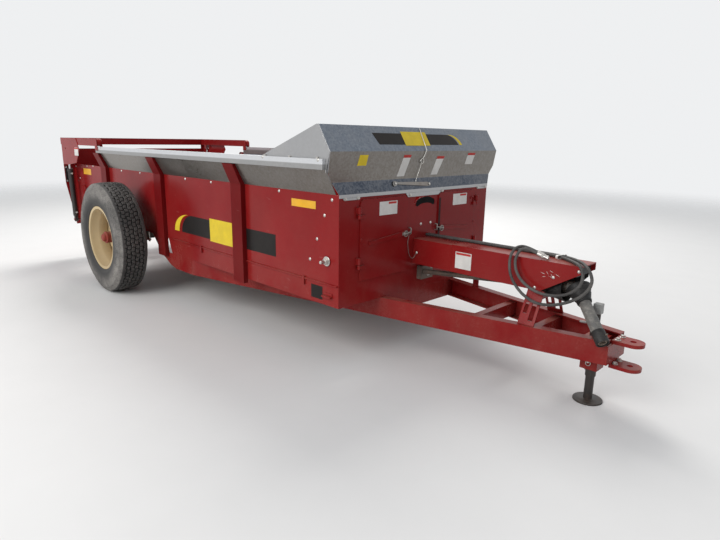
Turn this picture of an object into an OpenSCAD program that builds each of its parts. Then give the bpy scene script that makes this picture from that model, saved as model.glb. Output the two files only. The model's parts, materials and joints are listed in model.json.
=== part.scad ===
/* [Load box] */
// Outer half width of the red box
box_half = 820; // [700:10:950]
// Front face of the box, ahead of the axle
box_front = 2970; // [2600:10:3300]
// Rear end of the red side sheets, from the axle
side_rear = -1230; // [-1300:10:-1100]
// Top edge of the red side sheets
box_top = 1155; // [1050:5:1300]
// Height of the seam between side sheet and skirt
seam_z = 575; // [560:1:600]
// Lower edge of the skirt
skirt_low = 430; // [430:5:470]
// Thickness of the box sheets
sheet = 5; // [3:0.5:8]
// Top of the floor boards
floor_top = 660; // [655:1:680]
// Thickness of the floor boards
floor_t = 38; // [30:1:40]
// Number of floor boards
board_count = 7; // [5:1:9]
// Gap between floor boards
board_gap = 4; // [2:1:8]
// Rear end of the floor boards
floor_rear = -950; // [-1000:10:-800]
// Front end of the floor boards
floor_front = 2800; // [2500:10:2850]

/* [Stakes and flares] */
// Width of one side stake
stake_w = 140; // [100:5:160]
// How far a stake stands off the side sheet
stake_d = 38; // [25:1:50]
// Thickness of stake metal
stake_t = 6; // [4:0.5:8]
// Lower end of the stakes
stake_low = 400; // [395:5:450]
// How far the rail stands outside the box
rail_out = 110; // [90:5:130]
// Top of the galvanised rail
rail_top = 1374; // [1340:1:1400]
// Lower edge of the rail lip
rail_low = 1310; // [1280:1:1330]
// Width of the rail
rail_w = 45; // [35:1:60]
// Rear end of the galvanised flare
flare_rear = -700; // [-760:10:-600]
// Front end of the galvanised flare
flare_front = 2940; // [2700:10:2950]

/* [Hood] */
// Height of the hood's lower fold
hood_fold_z = 1232; // [1200:1:1260]
// Height of the hood's crease
hood_crease_z = 1418; // [1390:1:1450]
// Top edge of the hood
hood_top_z = 1577; // [1520:1:1620]
// How far the hood's sides stay inside the rails' outer edges
hood_inset = 25; // [10:1:40]
// How far the lower fold leans back
hood_fold_back = 22; // [10:1:50]
// How far the crease stands ahead of the box front
hood_crease_out = 15; // [5:1:40]
// How far the top edge leans back
hood_top_back = 92; // [60:1:140]
// Rear point of the hood's side wings
wing_rear = 2285; // [2000:5:2500]
// Thickness of the galvanised sheet
zinc_t = 4; // [2:0.5:6]

/* [Front doors] */
// Inner edge of the doors from the centreline
door_in = 175; // [150:5:220]
// Outer, hinged edge of the doors
door_out = 640; // [560:5:680]
// Lower edge of the doors
door_low = 585; // [580:1:620]
// Upper edge of the doors
door_top = 1118; // [1000:1:1125]
// Thickness of the doors
door_t = 8; // [5:0.5:10]
// Radius of the doors' upper corners
door_corner = 35; // [15:1:60]
// Radius of the door hinge pin
door_pin_r = 8; // [6:0.5:9]
// Height of the door hinge brackets
door_hinge_h = 40; // [30:1:50]

/* [Frame] */
// Height of the frame rails
rail_h = 135; // [110:5:150]
// Lower edge of the frame rails
frame_low = 295; // [280:5:300]
// Width of a frame rail
frame_w = 60; // [45:1:75]
// Wall of the frame rails
frame_t = 8; // [6:0.5:10]
// Where the rails bend inwards, ahead of the axle
bend_x = 1060; // [900:10:1200]
// Front ends of the rails
tongue_x = 4390; // [4300:5:4450]
// Outer half width at the rails' front ends
tongue_half = 130; // [120:1:150]
// Side of the square axle tube
axle_side = 96; // [80:1:96]

/* [Hitch and jack] */
// Radius of the hitch pin hole
hitch_hole_r = 16; // [12:0.5:20]
// Position of the hitch pin hole ahead of the axle
hitch_x = 4485; // [4450:5:4520]
// Half width of the hitch plates
hitch_half = 60; // [45:1:65]
// Thickness of the hitch plates
hitch_t = 20; // [15:1:25]
// Underside of the upper hitch plate
hitch_up_z = 405; // [400:1:410]
// Underside of the lower hitch plate
hitch_low_z = 262; // [255:1:265]
// Position of the jack ahead of the axle
jack_x = 4276; // [4266:1:4286]
// Radius of the jack's outer tube
jack_r = 30; // [26:0.5:34]
// Radius of the jack's inner leg
jack_leg_r = 25; // [18:0.5:28]
// Radius of the jack's foot
jack_foot_r = 84; // [50:1:90]
// Top of the jack's gear head
jack_top = 600; // [580:1:620]

/* [Wheels] */
// Overall diameter of the tyres
tyre_d = 1054; // [1000:1:1080]
// Section width of the tyres
tyre_w = 279; // [240:1:290]
// Width of the tread
tread_w = 225; // [190:1:240]
// Wheel centre plane outside the box
wheel_out = 270; // [265:1:290]
// Diameter over the rim flanges
flange_d = 610; // [600:1:620]
// Bead seat diameter of the rim
seat_d = 571; // [565:0.5:575]
// Radius of the hub
hub_r = 56; // [50:1:70]
// Radius of the spindle
spindle_r = 38; // [25:0.5:45]

/* [Rear gate] */
// Plane of the gate sheet behind the axle
gate_x = -1800; // [-1820:1:-1795]
// Lower edge of the gate
gate_low = 419; // [400:1:450]
// Top of the gate sheet
gate_top = 1330; // [1300:1:1340]
// Top of the crossbar and of the gate arms
arm_top = 1457; // [1450:1:1465]
// Depth of the gate arms
arm_h = 78; // [60:1:78]
// Width of the gate arms
arm_w = 38; // [30:1:38]
// Gate pivot ahead of the axle
pivot_x = -665; // [-670:1:-660]
// Radius of the gate pivot pin
pivot_r = 12; // [8:0.5:16]

/* [Gate cylinders] */
// Radius of the cylinder barrels
barrel_r = 28; // [24:0.5:30]
// Radius of the cylinder rods
rod_r = 14; // [10:0.5:18]
// Base pin of the cylinders, ahead of the axle
base_x = -1620; // [-1625:1:-1610]
// Height of the base pin
base_z = 500; // [490:1:510]
// Rod eye ahead of the axle, gate closed
eye_x = -1660; // [-1665:1:-1650]
// Height of the rod eye, gate closed
eye_z = 1335; // [1325:1:1340]
// Length of a barrel from its base pin
barrel_len = 600; // [560:5:620]

/* [Beater] */
// Position of the beater ahead of the axle
beater_x = -1450; // [-1460:1:-1440]
// Height of the beater
beater_z = 860; // [850:1:880]
// Radius over the paddle tips
beater_tip = 300; // [250:1:305]
// Radius of the beater tube
beater_tube = 84; // [60:1:100]
// Number of paddle stations
paddle_count = 8; // [5:1:10]
// Width of one paddle
paddle_w = 120; // [80:1:140]
// Turn from one paddle station to the next
paddle_step = 67.5; // [30:0.5:90]

/* [Apron] */
// Distance of the apron chains from the centreline
chain_y = 560; // [450:5:640]
// Pitch circle of the apron sprockets
chain_r = 35; // [33:0.5:36]
// Position of the front idler ahead of the axle
idler_x = 2862; // [2855:1:2870]
// Position of the rear apron shaft
drive_x = -1010; // [-1015:1:-1000]
// Pitch between apron slats
slat_pitch = 300; // [200:5:400]
// Gap between the apron slats and the box sheets
slat_gap = 80; // [70:1:150]

/* [Driveline] */
// Half width of the shaft cover's front part
cover_half = 100; // [85:1:120]
// Top of the shaft cover's front part
cover_top = 812; // [800:1:830]
// Lower edge of the shaft cover
cover_low = 625; // [610:1:640]
// Tip of the shaft cover ahead of the axle
cover_tip = 4195; // [4150:5:4200]
// Start of the wider front part
cover_step = 3310; // [3200:5:3450]
// Wall of the shaft cover
cover_t = 6; // [4:0.5:8]
// Height of the input shaft
shaft_z = 555; // [550:1:560]
// Radius of the input shaft
shaft_r = 18; // [15:0.5:22]
// Position of the universal joint
joint_x = 4150; // [4145:1:4155]
// Height of the universal joint
joint_z = 660; // [655:1:665]

/* [Hidden] */
$fn = 48;
gap = 0.3;
pin_gap = 0.05;
rail_half = box_half + rail_out;
hood_half = rail_half - hood_inset;
wheel_y = box_half + wheel_out;
gate_half = rail_half;
slat_half = box_half - sheet - slat_gap;
rear_x = gate_x - 30;
nose_x = hitch_x + hitch_half;
shift_x = -(nose_x + rear_x) / 2;
axle_z = tyre_d / 2;
floor_low = floor_top - floor_t;
chain_z = floor_top + 11 - chain_r;
box_in = box_half - sheet;
flare_run = (rail_half - 28 - box_half) / (rail_low - box_top);
rail_in = rail_half - rail_w;
tongue_slope = (box_half - tongue_half) / (tongue_x - bend_x);
frame_wy = frame_w / cos(atan(tongue_slope));
frame_top = frame_low + rail_h;
arm_low = arm_top - arm_h;
arm_y = rail_in + 3;
arm_mid_y = arm_y + arm_w / 2;
arm_mid_z = arm_top - arm_h / 2;
cyl_tilt = atan((eye_x - base_x) / (eye_z - base_z));
cyl_len = sqrt((eye_x - base_x) * (eye_x - base_x) + (eye_z - base_z) * (eye_z - base_z));
stake_x = [1800, 485, -810];
gland_len = 24;
spindle_in = wheel_y - 200;
wheel_disc = 90;
shaft_end_r = 17;
door_off = 17;
lug_t = 6;
cross_x = [1110, 1950];
door_axis = door_out + 18;
beam_z = 480;
floor_bar = 9;
floor_bar_x = [-900, -300, 300, 900, 1500, 2100, 2700];
hinge_z = [700, 1030];
line_z = 450;
line_end = -1100;
hang_yaw = -38;
hang_dip = 36;
cross_r = 9;
yoke_out = 33;
line_x = box_front + 30;
line_tilt = atan((joint_z - shaft_z) / (joint_x - line_x));
member_w = 40;
sleeve_half = 50;
sleeve_low = 209;
hub_flange = 116;
hole_ring = 196;
coupler_dip = asin(0.28);
seat_gap = 0.01;

// Which sub-part to draw

function outer_y(x) = tongue_half + (tongue_x - x) * tongue_slope;
function inner_y(x) = outer_y(x) - frame_wy;
function line_at(x) = shaft_z + (joint_z - shaft_z) * (x - line_x) / (joint_x - line_x);
function web_y(x) = outer_y(x) - frame_t / cos(atan(tongue_slope));

module along_x(x0, len) {
  translate([x0, 0, 0]) rotate([90, 0, 90]) linear_extrude(len) children();
}

module along_y(y0, len) {
  translate([0, y0 + len, 0]) rotate([90, 0, 0]) linear_extrude(len) children();
}

module place() {
  translate([shift_x, 0, 0]) children();
}

module on_side(s) {
  if (s > 0) {
    children();
  } else {
    mirror([0, 1, 0]) children();
  }
}

// Plan of one frame rail between two offsets from its outer face
module rail_plan(o1, o2) {
  k = 1 / cos(atan(tongue_slope));
  polygon([
    [750, box_half - o1], [bend_x, box_half - o1], [tongue_x, tongue_half - o1 * k],
    [tongue_x, tongue_half - o2 * k], [bend_x, box_half - o2], [750, box_half - o2]
  ]);
}

module frame_rails() {
  color("firebrick") place() {
    for (s = [-1, 1]) on_side(s) {
      translate([0, 0, frame_low]) linear_extrude(rail_h) rail_plan(0, frame_t);
      translate([0, 0, frame_low]) linear_extrude(frame_t) rail_plan(frame_t, frame_w);
      translate([0, 0, frame_top - frame_t]) linear_extrude(frame_t) rail_plan(frame_t, frame_w);
      along_y(box_half - frame_t, frame_t) polygon([
        [750, frame_low], [640, frame_low + 25], [530, frame_low + 80], [430, frame_low + 150],
        [350, frame_low + 225], [310, seam_z - 5], [310, seam_z], [560, seam_z],
        [620, frame_top], [750, frame_top]
      ]);
    }
    translate([box_front + 258, 312, frame_top]) cube([44, 10, 75]);
  }
}

module frame_sills() {
  color("firebrick") place() for (s = [-1, 1]) on_side(s) {
    translate([side_rear, box_in - frame_w, axle_z + axle_side / 2])
      cube([box_front - sheet - side_rear, frame_t, chain_z - shaft_end_r - 1 - axle_z - axle_side / 2]);
    translate([side_rear, box_in - frame_w + frame_t, axle_z + axle_side / 2])
      cube([box_front - sheet - side_rear, frame_w - frame_t, frame_t]);
    for (x = floor_bar_x)
      translate([x, 0, floor_low - floor_bar]) cube([60, box_in, floor_bar]);
  }
}

module cross_members() {
  color("firebrick") place() {
    for (x = cross_x) translate([0, 0, frame_low + 30]) linear_extrude(70) polygon([
      [x - 30, -web_y(x - 30)], [x + 30, -web_y(x + 30)],
      [x + 30, web_y(x + 30)], [x - 30, web_y(x - 30)]
    ]);
    member_x = box_front - member_w;
    translate([0, 0, frame_low + frame_t]) linear_extrude(rail_h - 2 * frame_t) polygon([
      [member_x, -web_y(member_x)], [box_front, -web_y(box_front)],
      [box_front, web_y(box_front)], [member_x, web_y(member_x)]
    ]);
    translate([0, 0, frame_low]) linear_extrude(rail_h) polygon([
      [member_x, -inner_y(member_x)], [box_front, -inner_y(box_front)],
      [box_front, inner_y(box_front)], [member_x, inner_y(member_x)]
    ]);
    for (x = [3590, 3960]) translate([0, 0, frame_low + 20]) linear_extrude(90) polygon([
      [x - 25, -web_y(x - 25)], [x + 25, -web_y(x + 25)],
      [x + 25, web_y(x + 25)], [x - 25, web_y(x - 25)]
    ]);
    for (x = [850, 1950, 2760]) {
      translate([x - 20, -box_in, beam_z]) cube([40, 2 * box_in, 45]);
      for (s = [-1, 1]) on_side(s) translate([x - 20, box_in - frame_w, beam_z + 45])
        cube([40, 40, axle_z + axle_side / 2 - beam_z - 45]);
    }
  }
}

module hitch_plates() {
  wedge = 4345;
  color("firebrick") place() {
    for (z = [hitch_up_z, hitch_low_z]) difference() {
      union() {
        translate([tongue_x, -hitch_half, z]) cube([hitch_x - tongue_x, 2 * hitch_half, hitch_t]);
        translate([hitch_x, 0, z]) cylinder(r = hitch_half, h = hitch_t);
      }
      translate([hitch_x, 0, z - 1]) cylinder(r = hitch_hole_r, h = hitch_t + 2);
    }
    translate([tongue_x, -tongue_half, frame_low]) cube([12, 2 * tongue_half, hitch_up_z - frame_low]);
    translate([tongue_x, -hitch_half, hitch_low_z + hitch_t])
      cube([12, 2 * hitch_half, frame_low - hitch_low_z - hitch_t]);
    difference() {
      translate([0, 0, frame_low]) linear_extrude(110) polygon([
        [jack_x - 50, -inner_y(jack_x - 50)], [wedge, -inner_y(wedge)],
        [wedge, inner_y(wedge)], [jack_x - 50, inner_y(jack_x - 50)]
      ]);
      translate([jack_x, 0, frame_low - 1]) cylinder(r = jack_r + gap, h = 112);
    }
    difference() {
      translate([jack_x - sleeve_half, -sleeve_half, sleeve_low])
        cube([2 * sleeve_half, 2 * sleeve_half, frame_low - sleeve_low]);
      translate([jack_x, 0, sleeve_low - 1]) cylinder(r = jack_r + gap, h = frame_low - sleeve_low + 2);
    }
  }
}

module axle_tube() {
  color("dimgray") place() {
    translate([-axle_side / 2, -spindle_in, axle_z - axle_side / 2])
      cube([axle_side, 2 * spindle_in, axle_side]);
    for (s = [-1, 1]) on_side(s)
      translate([0, spindle_in, axle_z]) rotate([-90, 0, 0])
        cylinder(r = spindle_r, h = wheel_y + 40 - spindle_in);
  }
}

module floor_boards() {
  pitch = 2 * box_in / board_count;
  color("burlywood") place() for (i = [0 : board_count - 1])
    translate([floor_rear, -box_in + i * pitch + board_gap / 2, floor_low])
      cube([floor_front - floor_rear, pitch - board_gap, floor_t]);
}

module side_sheet(s) {
  place() on_side(s)
    translate([side_rear, box_in, seam_z]) cube([box_front - side_rear, sheet, box_top - seam_z]);
}

module side_right() {
  color("firebrick") side_sheet(-1);
}

module side_left() {
  color("firebrick") side_sheet(1);
}

module skirt(s) {
  place() on_side(s) along_y(box_in, sheet) polygon([
    [630, seam_z], [690, frame_top], [box_front, skirt_low], [box_front, seam_z]
  ]);
}

module skirt_right() {
  color("firebrick") skirt(-1);
}

module skirt_left() {
  color("firebrick") skirt(1);
}

// Side view of one stake, standing off the sheet and leaning out under the rail
module stake_profile(d1, d2) {
  top_z = rail_low - 4;
  top_y = box_half + flare_run * (top_z - box_top);
  polygon([
    [box_half + d1, stake_low], [box_half + d2, stake_low], [box_half + d2, box_top],
    [top_y + d2 * 0.6 + 2, top_z], [top_y + d1 * 0.6 + 1, top_z], [box_half + d1 + 1, box_top]
  ]);
}

module stakes(s) {
  place() on_side(s) for (x = stake_x) {
    for (dx = [0, stake_w - stake_t]) along_x(x + dx, stake_t) stake_profile(0, stake_d);
    along_x(x + stake_t, stake_w - 2 * stake_t) stake_profile(stake_d - stake_t, stake_d);
  }
}

module stakes_right() {
  color("firebrick") stakes(-1);
}

module stakes_left() {
  color("firebrick") stakes(1);
}

module flare(s) {
  low_in = box_top + (rail_in - box_in) / flare_run;
  place() on_side(s) along_x(flare_rear, flare_front - flare_rear) polygon([
    [box_in, box_top], [box_half, box_top], [rail_half - 28, rail_low],
    [rail_half, rail_low], [rail_half, rail_top], [rail_in, rail_top], [rail_in, low_in]
  ]);
}

module flare_right() {
  color("silver") flare(-1);
}

module flare_left() {
  color("silver") flare(1);
}

module front_wall() {
  edge = 30;
  color("firebrick") place() {
    difference() {
      translate([box_front - sheet, -box_in, skirt_low])
        cube([sheet, 2 * box_in, box_top - skirt_low]);
      for (s = [-1, 1]) on_side(s)
        translate([box_front - sheet - 1, door_in + edge, door_low + edge])
          cube([sheet + 2, door_out - door_in - 2 * edge, door_top - door_low - 2 * edge]);
      translate([box_front - sheet - 1, 0, 1040]) rotate([90, 0, 90]) linear_extrude(sheet + 2)
        difference() {
          circle(r = 100);
          translate([0, -38]) circle(r = 96);
          translate([-150, -200]) square([300, 215]);
        }
      translate([box_front - sheet - 1, 0, shaft_z]) rotate([0, 90, 0])
        cylinder(r = shaft_r + 6, h = sheet + 2);
    }
    for (s = [-1, 1], z = hinge_z) on_side(s) difference() {
      union() {
        translate([box_front + door_off, door_axis, z]) cylinder(r = door_pin_r + 5, h = door_hinge_h);
        translate([box_front, door_axis - 8, z]) cube([door_off, 21, door_hinge_h]);
      }
      translate([box_front + door_off, door_axis, z - 1])
        cylinder(r = door_pin_r + pin_gap, h = door_hinge_h + 2);
    }
  }
}

module door(s) {
  bar = 12;
  color("firebrick") place() on_side(s) {
    intersection() {
      translate([box_front + 1, door_in, door_low]) cube([door_t, door_out - door_in, door_top - door_low]);
      union() {
        translate([box_front, door_in, door_low])
          cube([20, door_out - door_in, door_top - door_low - door_corner]);
        translate([box_front, door_in + door_corner, door_low])
          cube([20, door_out - door_in - 2 * door_corner, door_top - door_low]);
        for (y = [door_in + door_corner, door_out - door_corner])
          translate([box_front, y, door_top - door_corner]) rotate([0, 90, 0])
            cylinder(r = door_corner, h = 20);
      }
    }
    for (z = hinge_z) {
      translate([box_front + 5, door_out - 30, z - 32]) cube([door_off - 5 + bar / 2, 48, 24]);
      translate([box_front + door_off, door_axis, z - 32]) cylinder(r = door_pin_r + 4, h = 24);
      translate([box_front + door_off, door_axis, z - 8]) cylinder(r = door_pin_r, h = door_hinge_h + 12);
    }
    along_x(box_front + 1 + door_t, 8) polygon([
      [door_in + 15, 845], [door_in + 15, 875], [door_out - 80, 840], [door_out - 80, 815]
    ]);
  }
}

module door_right() {
  door(-1);
}

module door_left() {
  door(1);
}

module hood() {
  fold_x = box_front - hood_fold_back;
  crease_x = box_front + hood_crease_out;
  top_x = box_front - hood_top_back;
  spread_z = box_top + (hood_half - box_half) * 1.7;
  color("silver") place() {
    intersection() {
      along_y(-hood_half, 2 * hood_half) polygon([
        [box_front, box_top - 20], [box_front + zinc_t, box_top - 20], [box_front + zinc_t, box_top + 2],
        [fold_x + zinc_t, hood_fold_z], [crease_x, hood_crease_z], [top_x + zinc_t, hood_top_z],
        [top_x, hood_top_z], [crease_x - zinc_t, hood_crease_z], [fold_x, hood_fold_z],
        [box_front, box_top + 2]
      ]);
      along_x(box_front - 3 * hood_top_back, 4 * hood_top_back) polygon([
        [-box_half, box_top - 30], [box_half, box_top - 30], [box_half, box_top],
        [hood_half, spread_z], [hood_half, hood_top_z + 10],
        [-hood_half, hood_top_z + 10], [-hood_half, spread_z], [-box_half, box_top]
      ]);
    }
    for (s = [-1, 1]) on_side(s) along_y(hood_half - zinc_t, zinc_t) polygon([
      [wing_rear, rail_top], [flare_front, rail_top], [flare_front, hood_fold_z + 60],
      [fold_x - 4, hood_fold_z + 60], [crease_x - 1.2 * zinc_t, hood_crease_z],
      [top_x - 1, hood_top_z], [top_x - 18, hood_top_z]
    ]);
  }
}

// Side view of the shaft cover's cheek with its tapered nose
module cheek_profile(x0, top) {
  polygon([
    [x0, cover_low], [cover_tip - 235, cover_low], [cover_tip, top - 38],
    [cover_tip, top], [x0, top]
  ]);
}

module shaft_cover() {
  inner = cover_half - cover_t;
  back = cover_step + 60;
  color("firebrick") place() {
    for (s = [-1, 1]) on_side(s) {
      along_y(cover_half - cover_t, cover_t) cheek_profile(cover_step, cover_top - cover_t);
      translate([box_front, inner - cover_t - 1, cover_low])
        cube([back - box_front, cover_t, cover_top - 2 * cover_t - cover_low]);
    }
    translate([cover_step, -cover_half, cover_top - cover_t])
      cube([cover_tip - cover_step, 2 * cover_half, cover_t]);
    translate([box_front, 1 - inner, cover_top - 2 * cover_t])
      cube([back - box_front, 2 * inner - 2, cover_t]);
    for (s = [-1, 1]) on_side(s) translate([cover_step + 20, inner - 1, cover_low + 60]) cube([30, 1, 30]);
  }
}

module cover_stand() {
  x0 = 3885;
  wide = 105;
  foot = outer_y(x0 + wide) - 15;
  bar_h = 22;
  bar_low = line_at(x0 + 60) - 46 - bar_h;
  bar_half = foot - (foot - cover_half) * (bar_low + bar_h - frame_top) / (cover_low - frame_top) - 3;
  color("firebrick") place() {
    for (s = [-1, 1]) on_side(s) difference() {
      along_x(x0, wide) polygon([
        [foot - 9, frame_top], [foot, frame_top], [cover_half, cover_low], [cover_half - 9, cover_low]
      ]);
      translate([x0 + 14, 0, frame_top + 60]) cube([24, 400, 62]);
      translate([x0 + 58, 0, frame_top + 25]) cube([30, 400, 100]);
    }
    translate([x0 + 30, -bar_half, bar_low]) cube([60, 2 * bar_half, bar_h]);
  }
}

// Turns what is drawn along X into the direction in which the front half of the shaft hangs
module hanging(dip) {
  translate([joint_x, 0, joint_z]) rotate([0, 0, hang_yaw]) rotate([0, dip, 0]) children();
}

module input_shaft() {
  block = 3945;
  base = joint_x - 86;
  ear = 9;
  color("gray") place() {
    translate([box_front - 30, 0, shaft_z]) rotate([0, 90, 0]) cylinder(r = shaft_r, h = 62);
    translate([line_x, 0, shaft_z]) rotate([0, 90 - line_tilt, 0])
      cylinder(r = shaft_r, h = (base - line_x) / cos(line_tilt) + 8);
    translate([block - 30, -46, line_at(block) - 46]) cube([60, 92, 84]);
    translate([base, 0, joint_z]) rotate([0, 90, 0]) cylinder(r = yoke_out, h = 26);
    for (k = [-1, 1]) translate([base + 20, -14, joint_z + k * (yoke_out - ear / 2) - ear / 2])
      cube([78, 28, ear]);
    translate([joint_x, 0, joint_z - yoke_out + 1]) cylinder(r = cross_r, h = 2 * yoke_out - 2);
    hanging(0) rotate([90, 0, 0]) translate([0, 0, -yoke_out]) cylinder(r = cross_r, h = 2 * yoke_out);
    difference() {
      translate([box_front, -40, shaft_z - 55]) cube([42, 136, 98]);
      translate([box_front - 1, 0, shaft_z]) rotate([0, 90, 0]) cylinder(r = shaft_r - 1, h = 44);
    }
  }
}

module line_shaft() {
  color("dimgray") place() {
    difference() {
      translate([box_front - 145, -85, line_z - 20]) cube([140, 170, 128]);
      translate([box_front - 31, 0, shaft_z]) rotate([0, 90, 0]) cylinder(r = shaft_r + gap, h = 60);
    }
    translate([line_end, 0, line_z]) rotate([0, 90, 0])
      cylinder(r = 14, h = box_front - 144 - line_end);
    translate([line_end - 150, -80, line_z - 30]) cube([151, 160, 130]);
    translate([line_end - 75, 79, line_z + 40]) rotate([-90, 0, 0])
      cylinder(r = 20, h = box_half + 20 - 79);
  }
}

module drive_guard() {
  depth = 48;
  color("firebrick") place() difference() {
    along_y(box_half, depth) polygon([
      [beater_x - 110, 940], [beater_x + 90, 940], [drive_x + 130, 700],
      [drive_x + 130, 590], [line_end - 20, 430], [line_end - 150, 430], [beater_x - 110, 780]
    ]);
    translate([beater_x, 0, beater_z]) rotate([-90, 0, 0]) cylinder(r = 60, h = box_half + 12);
    translate([beater_x, 0, beater_z]) rotate([-90, 0, 0]) cylinder(r = 29, h = box_half + 30);
    translate([line_end - 75, 0, line_z + 40]) rotate([-90, 0, 0])
      cylinder(r = 20 + gap, h = box_half + 30);
  }
}

module apron_loop() {
  span = idler_x - drive_x;
  half_t = 9;
  count = floor(span / slat_pitch);
  color("dimgray") place() {
    for (s = [-1, 1]) on_side(s) {
      for (z = [chain_z + chain_r, chain_z - chain_r])
        translate([drive_x, chain_y - 16, z - half_t]) cube([span, 32, 2 * half_t]);
      for (x = [drive_x, idler_x]) difference() {
        translate([x, chain_y - 16, chain_z]) rotate([-90, 0, 0]) cylinder(r = chain_r + half_t, h = 32);
        translate([x, chain_y - 20, chain_z]) rotate([-90, 0, 0]) cylinder(r = chain_r - half_t, h = 40);
        translate([x > 0 ? x - 100 : x, chain_y - 20, chain_z - 100]) cube([100, 40, 200]);
      }
    }
    for (i = [0 : count - 1], k = [0, 1]) {
      x = drive_x + 90 + i * slat_pitch + k * 120;
      z = k == 0 ? chain_z + chain_r - half_t : chain_z - chain_r - half_t - 8;
      translate([x, -slat_half, z]) cube([45, 2 * slat_half, 5]);
      translate([x, -slat_half, z]) cube([5, 2 * slat_half, 26]);
    }
  }
}

// One apron shaft with its pair of sprockets
module apron_shaft(x, reach) {
  place() {
    translate([x, -reach, chain_z]) rotate([-90, 0, 0]) cylinder(r = shaft_end_r, h = 2 * reach);
    for (s = [-1, 1]) on_side(s)
      translate([x, chain_y - 10, chain_z]) rotate([-90, 0, 0]) cylinder(r = chain_r - 9.5, h = 20);
  }
}

module front_idler() {
  color("gray") apron_shaft(idler_x, box_in);
  color("gray") place() for (s = [-1, 1]) on_side(s)
    translate([idler_x, box_half, 727]) rotate([-90, 0, 0]) cylinder(r = 24, h = 5);
}

module rear_apron_shaft() {
  color("gray") apron_shaft(drive_x, box_in);
}

module rear_plate(s) {
  color("firebrick") place() on_side(s) {
    difference() {
      along_y(box_in, sheet) polygon([
        [side_rear, 600], [side_rear, box_top], [-1770, box_top], [-1770, 440],
        [-1560, 440], [-1400, 560], [side_rear, 575]
      ]);
      translate([beater_x, box_in - 1, beater_z]) rotate([-90, 0, 0]) cylinder(r = 27 + pin_gap, h = 20);
      translate([line_end - 75, box_in - 1, line_z + 40]) rotate([-90, 0, 0]) cylinder(r = 22, h = 20);
    }
    translate([base_x, box_half, base_z]) rotate([-90, 0, 0])
      cylinder(r = pivot_r, h = arm_mid_y + 24 - box_half);
    translate([base_x - 35, box_half, base_z - 35]) cube([70, 12, 70]);
    difference() {
      translate([beater_x, box_half, beater_z]) rotate([-90, 0, 0]) cylinder(r = 58, h = s > 0 ? 8 : 22);
      translate([beater_x, box_half - 1, beater_z]) rotate([-90, 0, 0]) cylinder(r = 27 + pin_gap, h = 30);
    }
  }
}

module rear_plate_right() {
  rear_plate(-1);
}

module rear_plate_left() {
  rear_plate(1);
}

module beater() {
  station = 2 * (box_in - 90) / (paddle_count - 1);
  color("firebrick") place() translate([beater_x, 0, beater_z]) {
    translate([0, 20 - box_in, 0]) rotate([-90, 0, 0]) cylinder(r = beater_tube, h = 2 * box_in - 40);
    translate([0, -box_half - 24, 0]) rotate([-90, 0, 0]) cylinder(r = 27, h = 2 * box_half + 48);
    for (i = [0 : paddle_count - 1], k = [0, 180])
      translate([0, 90 - box_in + i * station, 0]) rotate([0, i * paddle_step + k, 0])
        translate([-6, -paddle_w / 2, beater_tube - 6])
          cube([12, paddle_w, beater_tip - beater_tube + 4]);
  }
}

module gate() {
  neck = 1246;
  waist = 920;
  foot_half = gate_half - 86;
  color("firebrick") place() {
    along_x(gate_x, 6) polygon([
      [-foot_half, gate_low], [foot_half, gate_low], [gate_half - 5, waist], [gate_half, neck],
      [gate_half - 8, gate_top], [8 - gate_half, gate_top], [-gate_half, neck], [5 - gate_half, waist]
    ]);
    for (y = [-450, 0, 450]) translate([gate_x - 30, y - 30, gate_low + 40])
      cube([30, 60, gate_top - gate_low - 80]);
    translate([gate_x - 30, -foot_half, gate_low]) cube([30, 2 * foot_half, 40]);
    translate([gate_x - 30, -gate_half + 20, gate_top - 40]) cube([30, 2 * gate_half - 40, 40]);
  }
}

module gate_arms() {
  bar_x = gate_x - 28;
  cheek_low = arm_top - 307;
  cheek_end = gate_x + 600;
  color("firebrick") place() {
    translate([bar_x, -arm_y, arm_low]) cube([60, 2 * arm_y, arm_h]);
    for (s = [-1, 1]) on_side(s) {
      difference() {
        union() {
          translate([bar_x, arm_y, arm_low]) cube([pivot_x - bar_x, arm_w, arm_h]);
          translate([pivot_x, arm_y, arm_mid_z]) rotate([-90, 0, 0]) cylinder(r = arm_h / 2, h = arm_w);
          along_y(arm_y + arm_w, sheet) polygon([
            [gate_x + 8, cheek_low], [gate_x + 8, arm_top], [cheek_end - 90, arm_top],
            [cheek_end, arm_top - 127], [cheek_end - 130, cheek_low + 30], [cheek_end - 400, cheek_low]
          ]);
          translate([eye_x - 24, arm_y - lug_t, eye_z]) cube([48, lug_t + 1, arm_low + 30 - eye_z]);
          translate([eye_x, arm_y - lug_t, eye_z]) rotate([-90, 0, 0]) cylinder(r = 24, h = lug_t + 1);
          translate([gate_x + 6, arm_y, gate_top - 60]) cube([sheet, arm_w, arm_low - gate_top + 60]);
        }
        translate([pivot_x, arm_y - 20, arm_mid_z]) rotate([-90, 0, 0])
          cylinder(r = pivot_r + pin_gap, h = arm_w + 40);
        translate([eye_x, arm_y - 20, eye_z]) rotate([-90, 0, 0]) cylinder(r = 11, h = arm_w + 40);
      }
    }
  }
}

module gate_pivots() {
  ear = 7;
  color("firebrick") place() for (s = [-1, 1]) on_side(s) {
    for (y = [rail_in - ear, rail_half]) {
      translate([pivot_x - 30, y, rail_top - 40]) cube([60, ear, arm_mid_z - rail_top + 40]);
      translate([pivot_x, y, arm_mid_z]) rotate([-90, 0, 0]) cylinder(r = 30, h = ear);
    }
    translate([pivot_x, rail_in - ear, arm_mid_z]) rotate([-90, 0, 0])
      cylinder(r = pivot_r, h = rail_w + 2 * ear);
  }
}

// Moves what is drawn upright along Z onto a cylinder's line
module on_cylinder(s) {
  place() on_side(s) translate([base_x, arm_mid_y, base_z]) rotate([0, cyl_tilt, 0]) children();
}

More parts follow.
